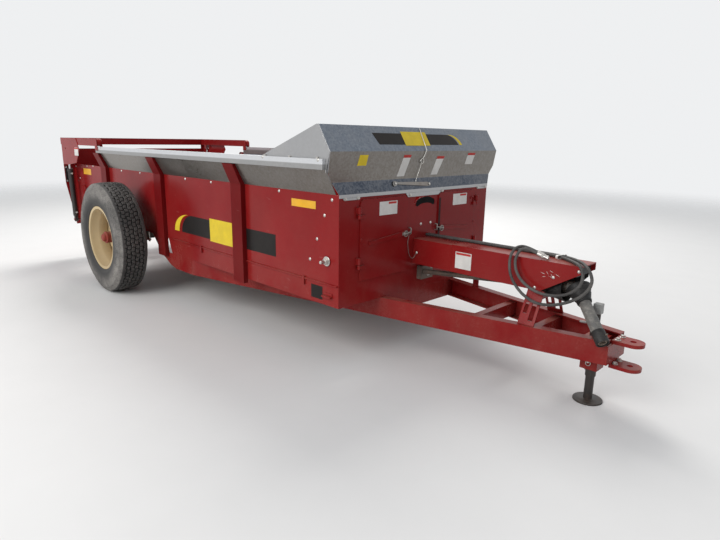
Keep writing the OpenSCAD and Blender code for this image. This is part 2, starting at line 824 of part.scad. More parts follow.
module barrel(s) {
  color("dimgray") on_cylinder(s) {
    difference() {
      translate([0, 0, 44]) cylinder(r = barrel_r, h = barrel_len - 44);
      translate([0, 0, 54]) cylinder(r = barrel_r - 6, h = barrel_len - 54 - gland_len);
      translate([0, 0, 60]) cylinder(r = rod_r + pin_gap, h = barrel_len);
    }
    difference() {
      union() {
        translate([0, -16, 0]) rotate([-90, 0, 0]) cylinder(r = 27, h = 32);
        translate([-20, -16, 0]) cube([40, 32, 46]);
      }
      translate([0, -20, 0]) rotate([-90, 0, 0]) cylinder(r = pivot_r + pin_gap, h = 40);
    }
  }
}

module barrel_right() {
  barrel(-1);
}

module barrel_left() {
  barrel(1);
}

module rod(s) {
  piston = 62;
  color("lightgray") on_cylinder(s) {
    translate([0, 0, piston]) cylinder(r = rod_r, h = cyl_len - 20 - piston);
    difference() {
      translate([0, -9, cyl_len]) rotate([-90, 0, 0]) cylinder(r = 23, h = 18);
      translate([0, -20, cyl_len]) rotate([-90, 0, 0]) cylinder(r = 12, h = 40);
    }
  }
}

module rod_right() {
  rod(-1);
}

module rod_left() {
  rod(1);
}

module tyre(s) {
  r = tyre_d / 2;
  w = tyre_w / 2;
  t = tread_w / 2;
  b = seat_d / 2 + gap;
  f = flange_d / 2;
  e = w - 32.6;
  color("darkslategray") place() on_side(s) translate([0, wheel_y, axle_z]) rotate([-90, 0, 0])
    rotate_extrude($fn = 72) polygon([
      [b, -e], [f + 0.5, -e], [f + 3, -w + 20], [r - 180, -w + 4], [r - 125, -w], [r - 75, -w + 4],
      [r - 30, -t - 8], [r - 8, -t], [r - 1, -t + 16], [r, -40], [r, 40], [r - 1, t - 16], [r - 8, t],
      [r - 30, t + 8], [r - 75, w - 4], [r - 125, w], [r - 180, w - 4], [f + 3, w - 20],
      [f + 0.5, e], [b, e]
    ]);
}

module tyre_right() {
  tyre(-1);
}

module tyre_left() {
  tyre(1);
}

module wheel(s) {
  f = flange_d / 2;
  b = seat_d / 2;
  e = tyre_w / 2 - 32;
  color("antiquewhite") place() on_side(s) translate([0, wheel_y, axle_z]) rotate([-90, 0, 0]) {
    rotate_extrude($fn = 72) polygon([
      [b, -e], [f, -e - 1], [f, -e - 9], [b - 9, -e - 9], [b - 12, -e + 20], [b - 60, -20],
      [b - 60, 20], [b - 12, e - 20], [b - 9, e + 9], [f, e + 9], [f, e + 1], [b, e],
      [b, e - 14], [b - 45, 16], [b - 45, -16], [b, 14 - e]
    ]);
    difference() {
      translate([0, 0, -wheel_disc]) cylinder(r = b - 9, h = 11, $fn = 72);
      translate([0, 0, -wheel_disc - 1]) cylinder(r = hub_r - 2, h = 13);
      for (a = [0 : 36 : 324]) rotate(a) translate([hole_ring, 0, -wheel_disc - 1])
        cylinder(r = 19, h = 13, $fn = 24);
    }
    difference() {
      union() {
        translate([0, 0, -wheel_disc - 12]) cylinder(r = hub_r, h = 178);
        translate([0, 0, -wheel_disc - 2]) cylinder(r = hub_flange, h = 16);
      }
      translate([0, 0, -wheel_disc - 13]) cylinder(r = spindle_r + pin_gap, h = 145);
    }
    translate([0, 0, 75]) cylinder(r = 40, h = 29);
  }
}

module wheel_right() {
  wheel(-1);
}

module wheel_left() {
  wheel(1);
}

module jack() {
  head = 46;
  head_z = jack_top - 60;
  stem_z = 440;
  color("dimgray") place() translate([jack_x, 0, 0]) {
    cylinder(r = jack_foot_r, h = 10);
    translate([0, 0, 10]) cylinder(r = jack_leg_r, h = 156);
    translate([0, 0, 158]) cylinder(r = jack_r, h = stem_z - 158);
    translate([0, 0, sleeve_low - 12]) cylinder(r = jack_r + 10, h = 12);
    translate([0, 0, stem_z - 1]) cylinder(r = 18, h = head_z - stem_z + 2);
    translate([-head / 2, -head / 2, head_z]) cube([head, head, 60]);
  }
}

module shaft_front() {
  bell = 50;
  depth = 50;
  tube_r = 34;
  tube_end = 320;
  color("black") place() hanging(hang_dip) {
    difference() {
      rotate([0, 90, 0]) translate([0, 0, -4]) cylinder(r1 = bell + 21, r2 = tube_r, h = 106);
      rotate([0, 90, 0]) translate([0, 0, -5]) cylinder(r1 = bell + 16, r2 = bell - 1, h = depth + 5);
    }
    translate([100, 0, 0]) rotate([0, 90, 0]) cylinder(r = tube_r, h = tube_end - 100);
    for (s = [-1, 1]) difference() {
      union() {
        translate([0, s * 27 - 5, -2 * cross_r]) cube([depth + 2, 10, 4 * cross_r]);
        translate([0, s * 27 - 5, 0]) rotate([-90, 0, 0]) cylinder(r = 2 * cross_r, h = 10);
      }
      translate([0, s * 27 - 6, 0]) rotate([-90, 0, 0]) cylinder(r = cross_r + pin_gap, h = 12);
    }
    difference() {
      translate([tube_end - 10, 0, 0]) rotate([0, 90, 0]) cylinder(r = tube_r + 3, h = 70);
      translate([tube_end + 10, 0, 0]) rotate([0, 90, 0]) cylinder(r = 17.5, h = 60);
    }
  }
}

// Rings of a round cord along hand-set points
function unit(v) = v / norm(v);
function tangent(p, i) = unit(p[min(i + 1, len(p) - 1)] - p[max(i - 1, 0)]);
function side_of(t) = unit(cross(t, [0.05, 1, 0.1]));
function spline(p, i, u) = 0.5 * (2 * p[i] + (p[i + 1] - p[max(i - 1, 0)]) * u
  + (2 * p[max(i - 1, 0)] - 5 * p[i] + 4 * p[i + 1] - p[min(i + 2, len(p) - 1)]) * u * u
  + (3 * p[i] - p[max(i - 1, 0)] - 3 * p[i + 1] + p[min(i + 2, len(p) - 1)]) * u * u * u);
function path_of(p, n) = [for (i = [0 : len(p) - 2], k = [0 : n - 1]) spline(p, i, k / n), p[len(p) - 1]];

module cord(p, r) {
  m = 8;
  n = len(p);
  rings = [for (i = [0 : n - 1]) let (t = tangent(p, i), a = side_of(t), b = cross(a, t))
    for (j = [0 : m - 1]) p[i] + r * (cos(j * 45) * a + sin(j * 45) * b)];
  polyhedron(points = rings, faces = concat(
    [[for (j = [0 : m - 1]) j]],
    [[for (j = [0 : m - 1]) n * m - 1 - j]],
    [for (i = [0 : n - 2], j = [0 : m - 1])
      [i * m + j, i * m + m + j, i * m + m + (j + 1) % m, i * m + (j + 1) % m]]
  ), convexity = 10);
}

hose_r = 9;
loop_a = [[2970, 52, 821.4], [3000, 52, 821.4], [3030, 52, 821.4], [3075, 52, 821.4],
  [3150, 52, 821.4], [3270, 52, 821.4], [3410, 52, 821.6], [3560, 52, 821.6], [3700, 52, 821.6],
  [3830, 52, 822], [3930, 46, 822.5], [4020, 22, 823], [4090, -22, 823.5], [4142, -68, 824],
  [4180, -104, 823], [4208, -128, 803], [4222, -139, 768], [4216, -143, 724], [4186, -145, 682],
  [4134, -147, 648], [4066, -148, 629], [3990, -149, 627], [3918, -148, 646], [3860, -146, 682],
  [3822, -142, 728], [3805, -136, 780], [3805, -128, 812], [3810, -117, 838], [3823, -103, 857],
  [3845, -90, 864], [3871, -82, 858.7], [3895, -82, 851.7], [3919, -82, 844.7]];
loop_b = [[2970, 76, 821.4], [3000, 76, 821.4], [3030, 76, 821.4], [3075, 76, 821.4],
  [3150, 76, 821.4], [3270, 76, 821.4], [3410, 76, 821.6], [3560, 76, 821.6], [3700, 76, 821.8],
  [3840, 76, 822], [3960, 68, 823], [4060, 40, 824], [4134, -10, 825], [4190, -66, 825],
  [4232, -110, 815], [4262, -134, 790], [4276, -143, 752], [4264, -147, 706], [4222, -150, 654],
  [4150, -153, 606], [4062, -155, 573], [3968, -155, 566], [3884, -154, 598], [3822, -151, 650],
  [3786, -147, 706], [3771, -141, 764], [3770, -132, 815], [3776, -118, 845], [3786, -100, 863],
  [3799, -80, 870], [3814, -63, 870], [3832, -51, 865], [3853, -46, 858.7], [3877, -46, 851.7],
  [3901, -46, 844.7]];

module hose_a() {
  color("black") place() cord(path_of(loop_a, 5), hose_r);
}

module hose_b() {
  color("black") place() cord(path_of(loop_b, 5), hose_r);
}

module hose_couplers() {
  body = 72;
  color("silver") place() for (p = [loop_a[len(loop_a) - 1], loop_b[len(loop_b) - 1]])
    translate(p) rotate([0, 90 + coupler_dip, 0]) translate([0, 0, seat_gap]) {
      cylinder(r = 14, h = 30);
      cylinder(r = 10, h = body);
    }
}

frame_rails();
frame_sills();
cross_members();
hitch_plates();
axle_tube();
floor_boards();
side_right();
side_left();
skirt_right();
skirt_left();
stakes_right();
stakes_left();
flare_right();
flare_left();
front_wall();
door_right();
door_left();
hood();
shaft_cover();
cover_stand();
input_shaft();
line_shaft();
drive_guard();
apron_loop();
front_idler();
rear_apron_shaft();
rear_plate_right();
rear_plate_left();
beater();
gate();
gate_arms();
gate_pivots();
barrel_right();
barrel_left();
rod_right();
rod_left();
tyre_right();
tyre_left();
wheel_right();
wheel_left();
jack();
shaft_front();
hose_a();
hose_b();
hose_couplers();
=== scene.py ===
"""Looks of a towed manure spreader: its paint, zinc, rubber and timber, and its small parts.

Lengths are metres, apart from the rows given to mm(), which are millimetres. Points are written
from the axle: x forward, y to the machine's left, z up.
"""
import json
from math import cos, pi, radians, sin
import bmesh
import bpy
import numpy as np
from mathutils import Matrix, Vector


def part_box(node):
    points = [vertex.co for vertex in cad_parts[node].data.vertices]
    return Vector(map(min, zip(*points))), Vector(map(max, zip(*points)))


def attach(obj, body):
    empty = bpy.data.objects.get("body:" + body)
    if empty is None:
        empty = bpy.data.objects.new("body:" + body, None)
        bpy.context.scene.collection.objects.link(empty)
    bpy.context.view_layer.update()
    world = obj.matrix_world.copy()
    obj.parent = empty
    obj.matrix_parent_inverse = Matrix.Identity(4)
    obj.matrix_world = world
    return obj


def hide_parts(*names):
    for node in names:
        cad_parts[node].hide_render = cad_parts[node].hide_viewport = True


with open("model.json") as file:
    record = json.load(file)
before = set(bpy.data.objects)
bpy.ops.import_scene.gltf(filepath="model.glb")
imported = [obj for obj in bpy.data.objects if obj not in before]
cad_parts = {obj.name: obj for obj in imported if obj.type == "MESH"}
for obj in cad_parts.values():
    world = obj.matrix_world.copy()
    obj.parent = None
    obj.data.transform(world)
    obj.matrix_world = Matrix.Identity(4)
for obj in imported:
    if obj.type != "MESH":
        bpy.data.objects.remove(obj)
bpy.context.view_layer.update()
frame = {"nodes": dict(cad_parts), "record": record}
scene = bpy.context.scene

# Places read from the frame
low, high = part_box("tyre_right")
AXLE = np.array([(low[0] + high[0]) / 2, 0, 0])
AXLE_Z = (low[2] + high[2]) / 2
TYRE_R = (high[2] - low[2]) / 2
TYRE_W = high[1] - low[1]
WHEEL_Y = -(low[1] + high[1]) / 2
low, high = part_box("side_right")
BOX_Y = -low[1]
BOX_FRONT = high[0] - AXLE[0]
SIDE_REAR = low[0] - AXLE[0]
SEAM_Z = low[2]
BOX_TOP = high[2]
low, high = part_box("flare_right")
RAIL_Y = -low[1]
RAIL_TOP = high[2]
COVER_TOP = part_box("shaft_cover")[1][2]

# Places set in the part's source
DOOR_FACE = BOX_FRONT + 0.009
COVER_Y = 0.1
CHEEK_Y = 0.931
JACK_AT = np.array([4.276, 0, 0])
JOINT_AT = np.array([4.15, 0, 0.66])
HANG_YAW, HANG_DIP = radians(-38), radians(36)
HANG = np.array([cos(HANG_YAW) * cos(HANG_DIP), sin(HANG_YAW) * cos(HANG_DIP),
                 -sin(HANG_DIP)])
ROTOR_AT = np.array([-1.45, 0, 0.86])

X, Y, Z = np.eye(3)
SIDES = ((-1, "right"), (1, "left"))


# Camera

CAMERA_AT = np.array([5.4, -3.06, 1.49])
YAW, DOWN, ROLL = (radians(a) for a in (45, 13.6, 0.9))
LENS, SENSOR = 27, 36


def turn_to(thing, right, up, back, at):
    """Stands a camera or lamp at a point, with its own axes along three given ones."""
    thing.matrix_world = Matrix([*zip(right, up, back, at), (0, 0, 0, 1)])


def new_object(name, data):
    made = bpy.data.objects.new(name, data)
    scene.collection.objects.link(made)
    return made


# Its back axis leans up by the pitch, and its right and up axes turn by the roll
level, right = cos(YAW) * Y - sin(YAW) * X, cos(YAW) * X + sin(YAW) * Y
ahead, up = level * cos(DOWN) - Z * sin(DOWN), Z * cos(DOWN) + level * sin(DOWN)
camera = new_object("camera", bpy.data.cameras.new("camera"))
camera.data.lens, camera.data.sensor_width = LENS, SENSOR
camera.data.clip_start, camera.data.clip_end = 0.05, 200
turn_to(camera, right * cos(ROLL) + up * sin(ROLL), up * cos(ROLL) - right * sin(ROLL), -ahead,
        CAMERA_AT + AXLE)
scene.camera = camera


# Shapes: a shape is its corners, and a list of arrays of faces with equally many corners

def mm(*rows):
    """Rows written in millimetres, as an array in metres."""
    return np.array(rows, float) / 1000


def spots(rows, x=None, y=None):
    """Points on the plane at x from their (y, z), or on the plane at y from their (x, z)."""
    return [(a, y, b) if x is None else (x, a, b) for a, b in rows]


def unit(v):
    v = np.asarray(v, float)
    return v / np.linalg.norm(v, axis=-1, keepdims=True)


def basis(axis):
    """Two unit vectors square to an axis and to each other."""
    axis = unit(axis)
    a = unit(np.cross(axis, Y if abs(axis[1]) < 0.9 else X))
    return a, np.cross(axis, a)


def circle(steps, a, b):
    """Even steps round a circle: cos t a + sin t b."""
    t = (np.arange(steps) * 2 * pi / steps)[:, None]
    return np.cos(t) * a + np.sin(t) * b


def joined(*shapes):
    """Several shapes as one: their corners in a row, and their faces counted on."""
    points, faces, start = [], [], 0
    for p, fs in shapes:
        points.append(p)
        faces += [f + start for f in fs]
        start += len(p)
    return np.vstack(points), faces


def surface(grid, ring=False):
    """The quads between neighbours of a grid of corners, whose last column joins its first.

    On a ring the last row joins the first too; otherwise one face closes each of these rows.
    """
    n, m = grid.shape[:2]
    i = np.arange(n if ring else n - 1)[:, None]
    j = np.arange(m)
    i2, j2 = (i + 1) % n, (j + 1) % m
    faces = [np.stack([i * m + j, i * m + j2, i2 * m + j2, i2 * m + j], -1).reshape(-1, 4)]
    if not ring:
        faces += [j[None, ::-1], j[None] + (n - 1) * m]
    return grid.reshape(-1, 3), faces


def turned(profile, centre=(0, 0, 0), axis=Z, steps=24, ring=False):
    """A turned form: corner (i, j) is centre + h_i axis + r_i (cos t_j a + sin t_j b)."""
    profile = np.asarray(profile, float)
    grid = (np.asarray(centre) + profile[:, 1, None, None] * unit(axis)
            + profile[:, 0, None, None] * circle(steps, *basis(axis)))
    return surface(grid, ring)


def rod(path, radius, sides=10):
    """A round rod: rings of the radius square to the path, turned with it by parallel transport."""
    path = np.asarray(path, float)
    tangent = unit(np.gradient(path, axis=0))
    a = [basis(tangent[0])[0]]
    for t in tangent:
        a.append(unit(a[-1] - t * np.dot(a[-1], t)))
    a = np.array(a[1:])[:, None]
    radius = np.broadcast_to(radius, len(path))[:, None, None]
    return surface(path[:, None] + radius * circle(sides, a, np.cross(tangent[:, None], a)))


def plate(outline, origin, u, v, thick):
    """A flat plate: corners origin + a u + b v for each (a, b), and again thick further on."""
    outline = np.asarray(outline, float)
    u, v = unit(u), unit(v)
    flat = np.asarray(origin) + outline[:, :1] * u + outline[:, 1:] * v
    return surface(np.stack([flat, flat + thick * np.cross(u, v)]))


def square(a0, a1, b0, b1):
    return [(a0, b0), (a1, b0), (a1, b1), (a0, b1)]


def block(low, high):
    """A box between its lowest and highest corners."""
    wide, deep, tall = np.subtract(high, low)
    return plate(square(0, wide, 0, deep), low, X, Y, tall)


def ring_of(centre, radius, thick, axis):
    """A torus: a round section of the radius thick, carried round a circle square to the axis."""
    section = circle(10, np.array([thick, 0]), np.array([0, thick])) + [radius, 0]
    return turned(section, centre, axis, ring=True)


def copies(shape, places, axis=Z):
    """A shape made along Z, repeated at each place with its Z turned to the axis."""
    points, faces = shape
    places = np.atleast_2d(np.asarray(places, float))
    every = places[:, None] + (points @ np.stack([*basis(axis), unit(axis)]))
    start = len(points) * np.arange(len(places))[:, None, None]
    return every.reshape(-1, 3), [(f[None] + start).reshape(-1, f.shape[1]) for f in faces]


def shift(shape, up):
    return shape[0] + [0, 0, up], shape[1]


def on_side(shape, side):
    """The shape as it is on the left, or its mirror image on the right."""
    return shape[0] * [1, side, 1], shape[1]


def arc(centre, radius, start, end, steps):
    """Points on a circle's arc from one angle to another, in degrees."""
    t = np.radians(np.linspace(start, end, steps))
    return np.c_[centre[0] + radius * np.cos(t), centre[1] + radius * np.sin(t)]


def piece(name, shapes, look, body="chassis", replaces=(), slot=None, bevel=0, crease=None):
    """Makes one piece of the object from shapes and rides it on a body."""
    points, faces = joined(*shapes)
    mesh = bpy.data.meshes.new(name)
    mesh.from_pydata((points + AXLE).tolist(), [], [face for f in faces for face in f.tolist()])
    mesh.validate()
    work = bmesh.new()
    work.from_mesh(mesh)
    bmesh.ops.recalc_face_normals(work, faces=work.faces)
    work.to_mesh(mesh)
    work.free()
    mesh.shade_smooth()
    mesh.set_sharp_from_angle(angle=radians(crease or look.crease))
    mesh.materials.append(look.material)
    made = new_object(name, mesh)
    if bevel:
        edge = made.modifiers.new("bevel", "BEVEL")
        edge.width, edge.segments, edge.limit_method, edge.angle_limit = bevel, 2, "ANGLE", radians(40)
    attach(made, body)
    if replaces:
        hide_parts(*replaces)
    return made


def sides(name, shapes, look, body="chassis", **more):
    """A piece on the right and its mirror image on the left; a body that ends in _ is one of a pair."""
    for side, word in SIDES:
        where = body + word[0] if body.endswith("_") else body
        piece(f"{name}_{word}", [on_side(s, side) for s in shapes], look, where, **more)


# Materials

def node(tree, kind, settings=(), numbered=(), **named):
    """A node with its settings; its inputs, by number or by name, get a value or a link."""
    made = tree.nodes.new("ShaderNode" + kind)
    for key, value in dict(settings).items():
        setattr(made, key, value)
    for key, value in [*dict(numbered).items(), *named.items()]:
        put(tree, made.inputs[key.replace("_", " ") if isinstance(key, str) else key], value)
    return made


def put(tree, socket, value):
    if isinstance(value, bpy.types.NodeSocket):
        tree.links.new(value, socket)
    else:
        socket.default_value = (*value, 1) if socket.type == "RGBA" else value


class Finish:
    """One material and its slot: a Principled shader, and short ways to add its nodes."""

    def __init__(self, name, slot, crease=35, **constants):
        self.slot, self.crease = slot, crease
        self.material = bpy.data.materials.new(name)
        self.material.use_nodes = True
        self.tree = self.material.node_tree
        self.tree.nodes.clear()
        self.shader = self.add("BsdfPrincipled", **constants)
        self.add("OutputMaterial", Surface=self.shader.outputs[0])
        self.place = self.add("TexCoord").outputs["Object"]
        self.height = self.axis(self.place, 2)
        self.facing = self.add("NewGeometry").outputs["Normal"]
        self.upward = self.axis(self.facing, 2)

    def add(self, kind, settings=(), numbered=(), **named):
        return node(self.tree, kind, settings, numbered, **named)

    def set(self, name, value):
        put(self.tree, self.shader.inputs[name], value)

    def math(self, operation, a, b=0, clamp=False):
        return self.add("Math", {"operation": operation, "use_clamp": clamp}, {0: a, 1: b}).outputs[0]

    def times(self, a, b):
        return self.math("MULTIPLY", a, b)

    def minus(self, a, b, clamp=False):
        return self.math("SUBTRACT", a, b, clamp)

    def plus(self, a, b, clamp=True):
        return self.math("ADD", a, b, clamp)

    def part(self, value, low, high):
        """0 below low, 1 above high and a smooth step between; low may be above high."""
        return self.add("MapRange", {"interpolation_type": "SMOOTHSTEP"}, Value=value,
                        From_Min=low, From_Max=high).outputs[0]

    def axis(self, vector, number):
        return self.add("SeparateXYZ", Vector=vector).outputs[number]

    def scaled(self, scale, turn=(0, 0, 0)):
        return self.add("Mapping", Vector=self.place, Scale=scale, Rotation=turn).outputs[0]

    def noise(self, scale, detail=3, roughness=0.5, vector=None, distortion=0):
        return self.add("TexNoise", Scale=scale, Detail=detail, Roughness=roughness,
                        Distortion=distortion, Vector=vector or self.place).outputs[0]

    def blotch(self, low, high, *noise):
        """Patches where the noise rises from low to high."""
        return self.part(self.noise(*noise), low, high)

    def cells(self, scale, channel):
        """One channel of the cells' colours, even over a cell and different in each."""
        cells = self.add("TexVoronoi", Scale=scale, Vector=self.place)
        return self.axis(cells.outputs["Color"], channel)

    def mix(self, share, a, b):
        return self.add("Mix", {"data_type": "RGBA"}, {0: share, 6: a, 7: b}).outputs[2]

    def over(self, tone, mask, share, colour):
        """A colour laid over a tone: its share, where the mask is 1."""
        return self.mix(self.times(mask, share), tone, colour)

    def soft(self, radius):
        return self.add("Bevel", {"samples": 4}, Radius=radius).outputs[0]

    def worn(self):
        """Where an edge is: the rounded normal there turns away from the true one."""
        same = self.add("VectorMath", {"operation": "DOT_PRODUCT"}, {0: self.soft(0.004), 1: self.facing})
        return self.part(same.outputs["Value"], 0.998, 0.65)

    def dust(self, film, ground, level):
        """Dust lies in a blotchy film, more near the ground and on faces that look up."""
        amount = self.plus(self.times(self.part(self.height, 0.95, 0.15), ground),
                           self.times(self.part(self.upward, 0.35, 0.95), level))
        streak = self.blotch(0.25, 0.75, 5, 4, 0.6, self.scaled((1.4, 1.4, 0.8)))
        blotch = self.blotch(0.32, 0.72, 2.2, 5, 0.62)
        fine = self.blotch(0.35, 0.75, 70, 3, 0.7)
        amount = self.plus(self.times(amount, streak), self.times(blotch, film))
        return self.plus(amount, self.times(self.times(fine, amount), 0.5))

    def made(self, colour, roughness, height, strength, distance, rounded_edge=0):
        """Sets the colour and the roughness, and a bump of the height, and gives the finish back."""
        bump = self.add("Bump", Strength=strength, Distance=distance, Height=height)
        if rounded_edge:
            put(self.tree, bump.inputs["Normal"], self.soft(rounded_edge))
        for name, value in (("Base Color", colour), ("Roughness", roughness), ("Normal", bump.outputs[0])):
            self.set(name, value)
        return self


DUST = (0.43, 0.33, 0.245)
RUST = (0.155, 0.058, 0.022)


def painted(name, colour, deep, film=0.022, gloss=0.24, ground=0.07, rust=0.35, shine=0.13, slot="red_paint"):
    """Sprayed enamel on steel sheet: slow waves, orange peel, fading, dust and bare chipped edges."""
    f = Finish(name, slot, Coat_Weight=0.4 * shine, Coat_Roughness=0.1, Specular_IOR_Level=shine)
    base = f.mix(f.blotch(0.3, 0.7, 0.9, 5, 0.6), deep, colour)
    dirt = f.dust(film, ground, 0.16)
    edge = f.times(f.worn(), f.blotch(0.52, 0.66, 22, 5, 0.7))
    chip = f.times(f.blotch(0.735, 0.76, 46, 6, 0.75), rust)
    bare = f.plus(f.times(edge, 0.8), chip)
    scratch = f.blotch(0.72, 0.8, 3, 2, 0.4, f.scaled((3, 60, 14), (0.3, 0.5, 0.7)))
    base = f.mix(bare, f.over(base, scratch, 0.12, (0.52, 0.26, 0.24)), RUST)
    rough = f.plus(f.plus(f.times(dirt, 0.55), gloss), f.times(bare, 0.4))
    waves = f.plus(f.noise(2.6, 2, 0.4), f.times(f.noise(260, 2, 0.5), 0.012), False)
    return f.made(f.mix(dirt, base, DUST), rough, f.minus(waves, f.times(bare, 0.03)), 0.22, 0.012, 0.0025)


def galvanised(name, highlit_top=False):
    """Hot-dip zinc: spangle cells of their own brightness and gloss, white bloom, streaks, dust.

    The tone carries painted light by the way a face turns: a painted sky reflection where it leans up,
    painted shade there below 1.24 m, a painted ground reflection where it looks down and a painted
    highlight on flat tops. Where the top is highlit, a lighter band above 1.34 m over a darker one is a
    painted highlight over painted shade.
    """
    f = Finish(name, "galvanised", Specular_IOR_Level=0.5)
    spangle = f.cells(75, 0)
    bloom = f.blotch(0.42, 0.75, 3.2, 6, 0.66, f.scaled((1, 1, 0.6)))
    tone = (0.385, 0.385, 0.39)
    # Painted highlight and shade on the rail: lighter above 1.34 m, darker below.
    if highlit_top:
        tone = f.mix(f.part(f.height, 1.338, 1.346), (0.34, 0.338, 0.335), (0.72, 0.73, 0.75))
    # Painted sky reflection: faces that lean up turn a dark cool blue.
    leaning_up = f.part(f.upward, 0.03, 0.24)
    tone = f.mix(leaning_up, tone, (0.105, 0.132, 0.172))
    # Painted shade: faces that lean up below 1.24 m, the hood's low band, turn darker still.
    tone = f.mix(f.times(leaning_up, f.part(f.height, 1.242, 1.226)), tone, (0.03, 0.042, 0.066))
    # Painted ground reflection: faces that look down turn warm.
    tone = f.mix(f.part(f.upward, -0.02, -0.14), tone, (0.185, 0.166, 0.144))
    # Painted highlight: flat tops turn light.
    tone = f.mix(f.part(f.upward, 0.9, 0.985), tone, (0.6, 0.61, 0.63))
    tone = f.over(tone, spangle, 0.14, (0.52, 0.53, 0.55))
    scratch = f.blotch(0.66, 0.76, 2.6, 3, 0.5, f.scaled((2, 40, 12), (0.2, 0.4, 0.6)))
    tone = f.over(tone, scratch, 0.18, (0.62, 0.63, 0.66))
    tone = f.over(tone, f.cells(150, 1), 0.08, (0.46, 0.47, 0.49))
    tone = f.over(tone, bloom, 0.1, (0.47, 0.46, 0.44))
    streak = f.blotch(0.55, 0.78, 9, 4, 0.6, f.scaled((4, 4, 0.35)))
    dirt = f.plus(f.times(f.dust(0.07, 0.2, 0.22), 0.8), f.times(streak, 0.06))
    f.set("Metallic", f.minus(0.88, f.times(dirt, 0.7)))
    rough = f.plus(f.times(spangle, 0.05), f.plus(f.times(bloom, 0.1), 0.27))
    waves = f.plus(f.noise(1.9, 2, 0.35), f.times(spangle, 0.006), False)
    return f.made(f.mix(dirt, tone, (0.29, 0.26, 0.225)), f.plus(rough, f.times(dirt, 0.3)), waves,
                  0.25, 0.02, 0.002)


def rubber(name, colour, dusty, grooved=False):
    """Rubber greyed by dust that clings to the raised faces and thins out in the grooves; in a tyre's grooves
    the colour is also darkened towards black as painted shade.
    """
    f = Finish(name, name, Specular_IOR_Level=0.35)
    blotch = f.blotch(0.3, 0.74, 4.5, 6, 0.7)
    fine = f.blotch(0.3, 0.72, 120, 4, 0.7)
    amount = f.times(f.plus(f.times(blotch, 0.6), f.times(fine, 0.35)), dusty)
    if grooved:
        wall = f.part(f.math("ABSOLUTE", f.axis(f.facing, 1)), 0.3, 0.75)
        along = f.minus(f.axis(f.place, 0), float(AXLE[0]))
        rise = f.minus(f.height, float(AXLE_Z))
        radius = f.math("SQRT", f.plus(f.times(along, along), f.times(rise, rise), False))
        ring = f.part(radius, 0.345, 0.45)
        share = f.plus(f.times(f.minus(1, wall), 0.4),
                       f.times(wall, f.plus(0.1, f.times(ring, 1.5), False)), False)
        # The dust thins out in the grooves, where the colour is also darkened towards black as painted shade.
        depth = f.add("Attribute", {"attribute_name": "groove"}).outputs["Fac"]
        amount = f.times(f.times(amount, share), f.minus(1, depth, True))
        colour = f.mix(depth, colour, (0.006, 0.006, 0.006))
    grain = f.plus(f.times(f.noise(190, 4, 0.7), 0.4), f.noise(24, 4, 0.6), False)
    return f.made(f.mix(amount, colour, (0.4, 0.375, 0.345)), f.plus(f.times(amount, 0.3), 0.62), grain,
                  0.35, 0.0012)


def timber(name):
    """Treated boards: long grain rings, dark weathered bands, cracks and trodden-in dirt."""
    f = Finish(name, "boards", Specular_IOR_Level=0.25)
    ring = f.noise(7, 4, 0.6, f.scaled((0.7, 9, 9)), 0.6)
    fibre = f.noise(60, 4, 0.7, f.scaled((0.25, 6, 6)))
    tone = f.mix(f.part(ring, 0.35, 0.68), (0.115, 0.078, 0.05), (0.285, 0.205, 0.135))
    tone = f.over(tone, f.part(fibre, 0.4, 0.7), 0.45, (0.34, 0.275, 0.2))
    tone = f.over(tone, f.part(fibre, 0.3, 0.22), 0.8, (0.03, 0.022, 0.016))
    soil = f.blotch(0.45, 0.7, 3, 6, 0.7)
    return f.made(f.over(tone, soil, 0.5, (0.095, 0.07, 0.048)), f.plus(0.66, f.times(fibre, 0.25)),
                  f.plus(fibre, f.times(ring, 0.4), False), 0.5, 0.0015)


def steel(name, colour, rust, roughness=0.42, metallic=0.8, film=0.2, ground=0.35, slot="dark_steel"):
    """Bare or oiled steel with blotches of rust, a mottled sheen and some dust."""
    f = Finish(name, slot, Specular_IOR_Level=0.5)
    blotch = f.blotch(0.5, 0.66, 9, 6, 0.72)
    fine = f.blotch(0.4, 0.68, 85, 5, 0.75)
    rusty = f.times(f.plus(f.times(blotch, 0.8), f.times(fine, 0.25)), rust)
    tone = f.mix(f.noise(14, 4, 0.6), tuple(c * 0.62 for c in colour), colour)
    tone = f.mix(rusty, tone, f.mix(fine, (0.075, 0.032, 0.018), (0.23, 0.095, 0.04)))
    dirt = f.dust(film, ground, ground * 0.7)
    dull = f.plus(rusty, dirt)
    f.set("Metallic", f.times(f.minus(1, dull), metallic))
    return f.made(f.mix(dirt, tone, DUST), f.plus(roughness, f.times(dull, 0.45)),
                  f.plus(f.times(fine, 0.5), f.noise(30, 3, 0.6), False), 0.3, 0.0012, 0.0015)


def zinc_bolt(name):
    """Plated fasteners: dull bright zinc, dulled further by dust and a breath of rust."""
    f = Finish(name, "rod_chrome", 30, Specular_IOR_Level=0.5, Metallic=0.9)
    fine = f.blotch(0.42, 0.7, 160, 4, 0.7)
    tone = f.mix(f.noise(40), (0.44, 0.43, 0.41), (0.66, 0.65, 0.62))
    colour = f.over(tone, fine, 0.3, (0.28, 0.2, 0.14))
    return f.made(colour, f.plus(0.3, f.times(fine, 0.3)), fine, 0.15, 0.0005)


def plastic(name, colour, scuff, shine=0.4):
    """Moulded guard plastic: sun-greyed, scuffed in long rubs, with dust in its pores."""
    f = Finish(name, "black_plastic", Specular_IOR_Level=shine)
    grey = f.blotch(0.36, 0.68, 6, 6, 0.72)
    rub = f.blotch(0.48, 0.66, 22, 4, 0.65, f.scaled((1, 1, 3)))
    amount = f.times(f.plus(f.times(grey, 0.75), f.times(rub, 0.5)), scuff)
    return f.made(f.mix(amount, colour, (0.34, 0.315, 0.28)), f.plus(0.44, f.times(amount, 0.4)),
                  f.plus(f.noise(240, 2), f.times(rub, 0.5), False), 0.2, 0.0006)


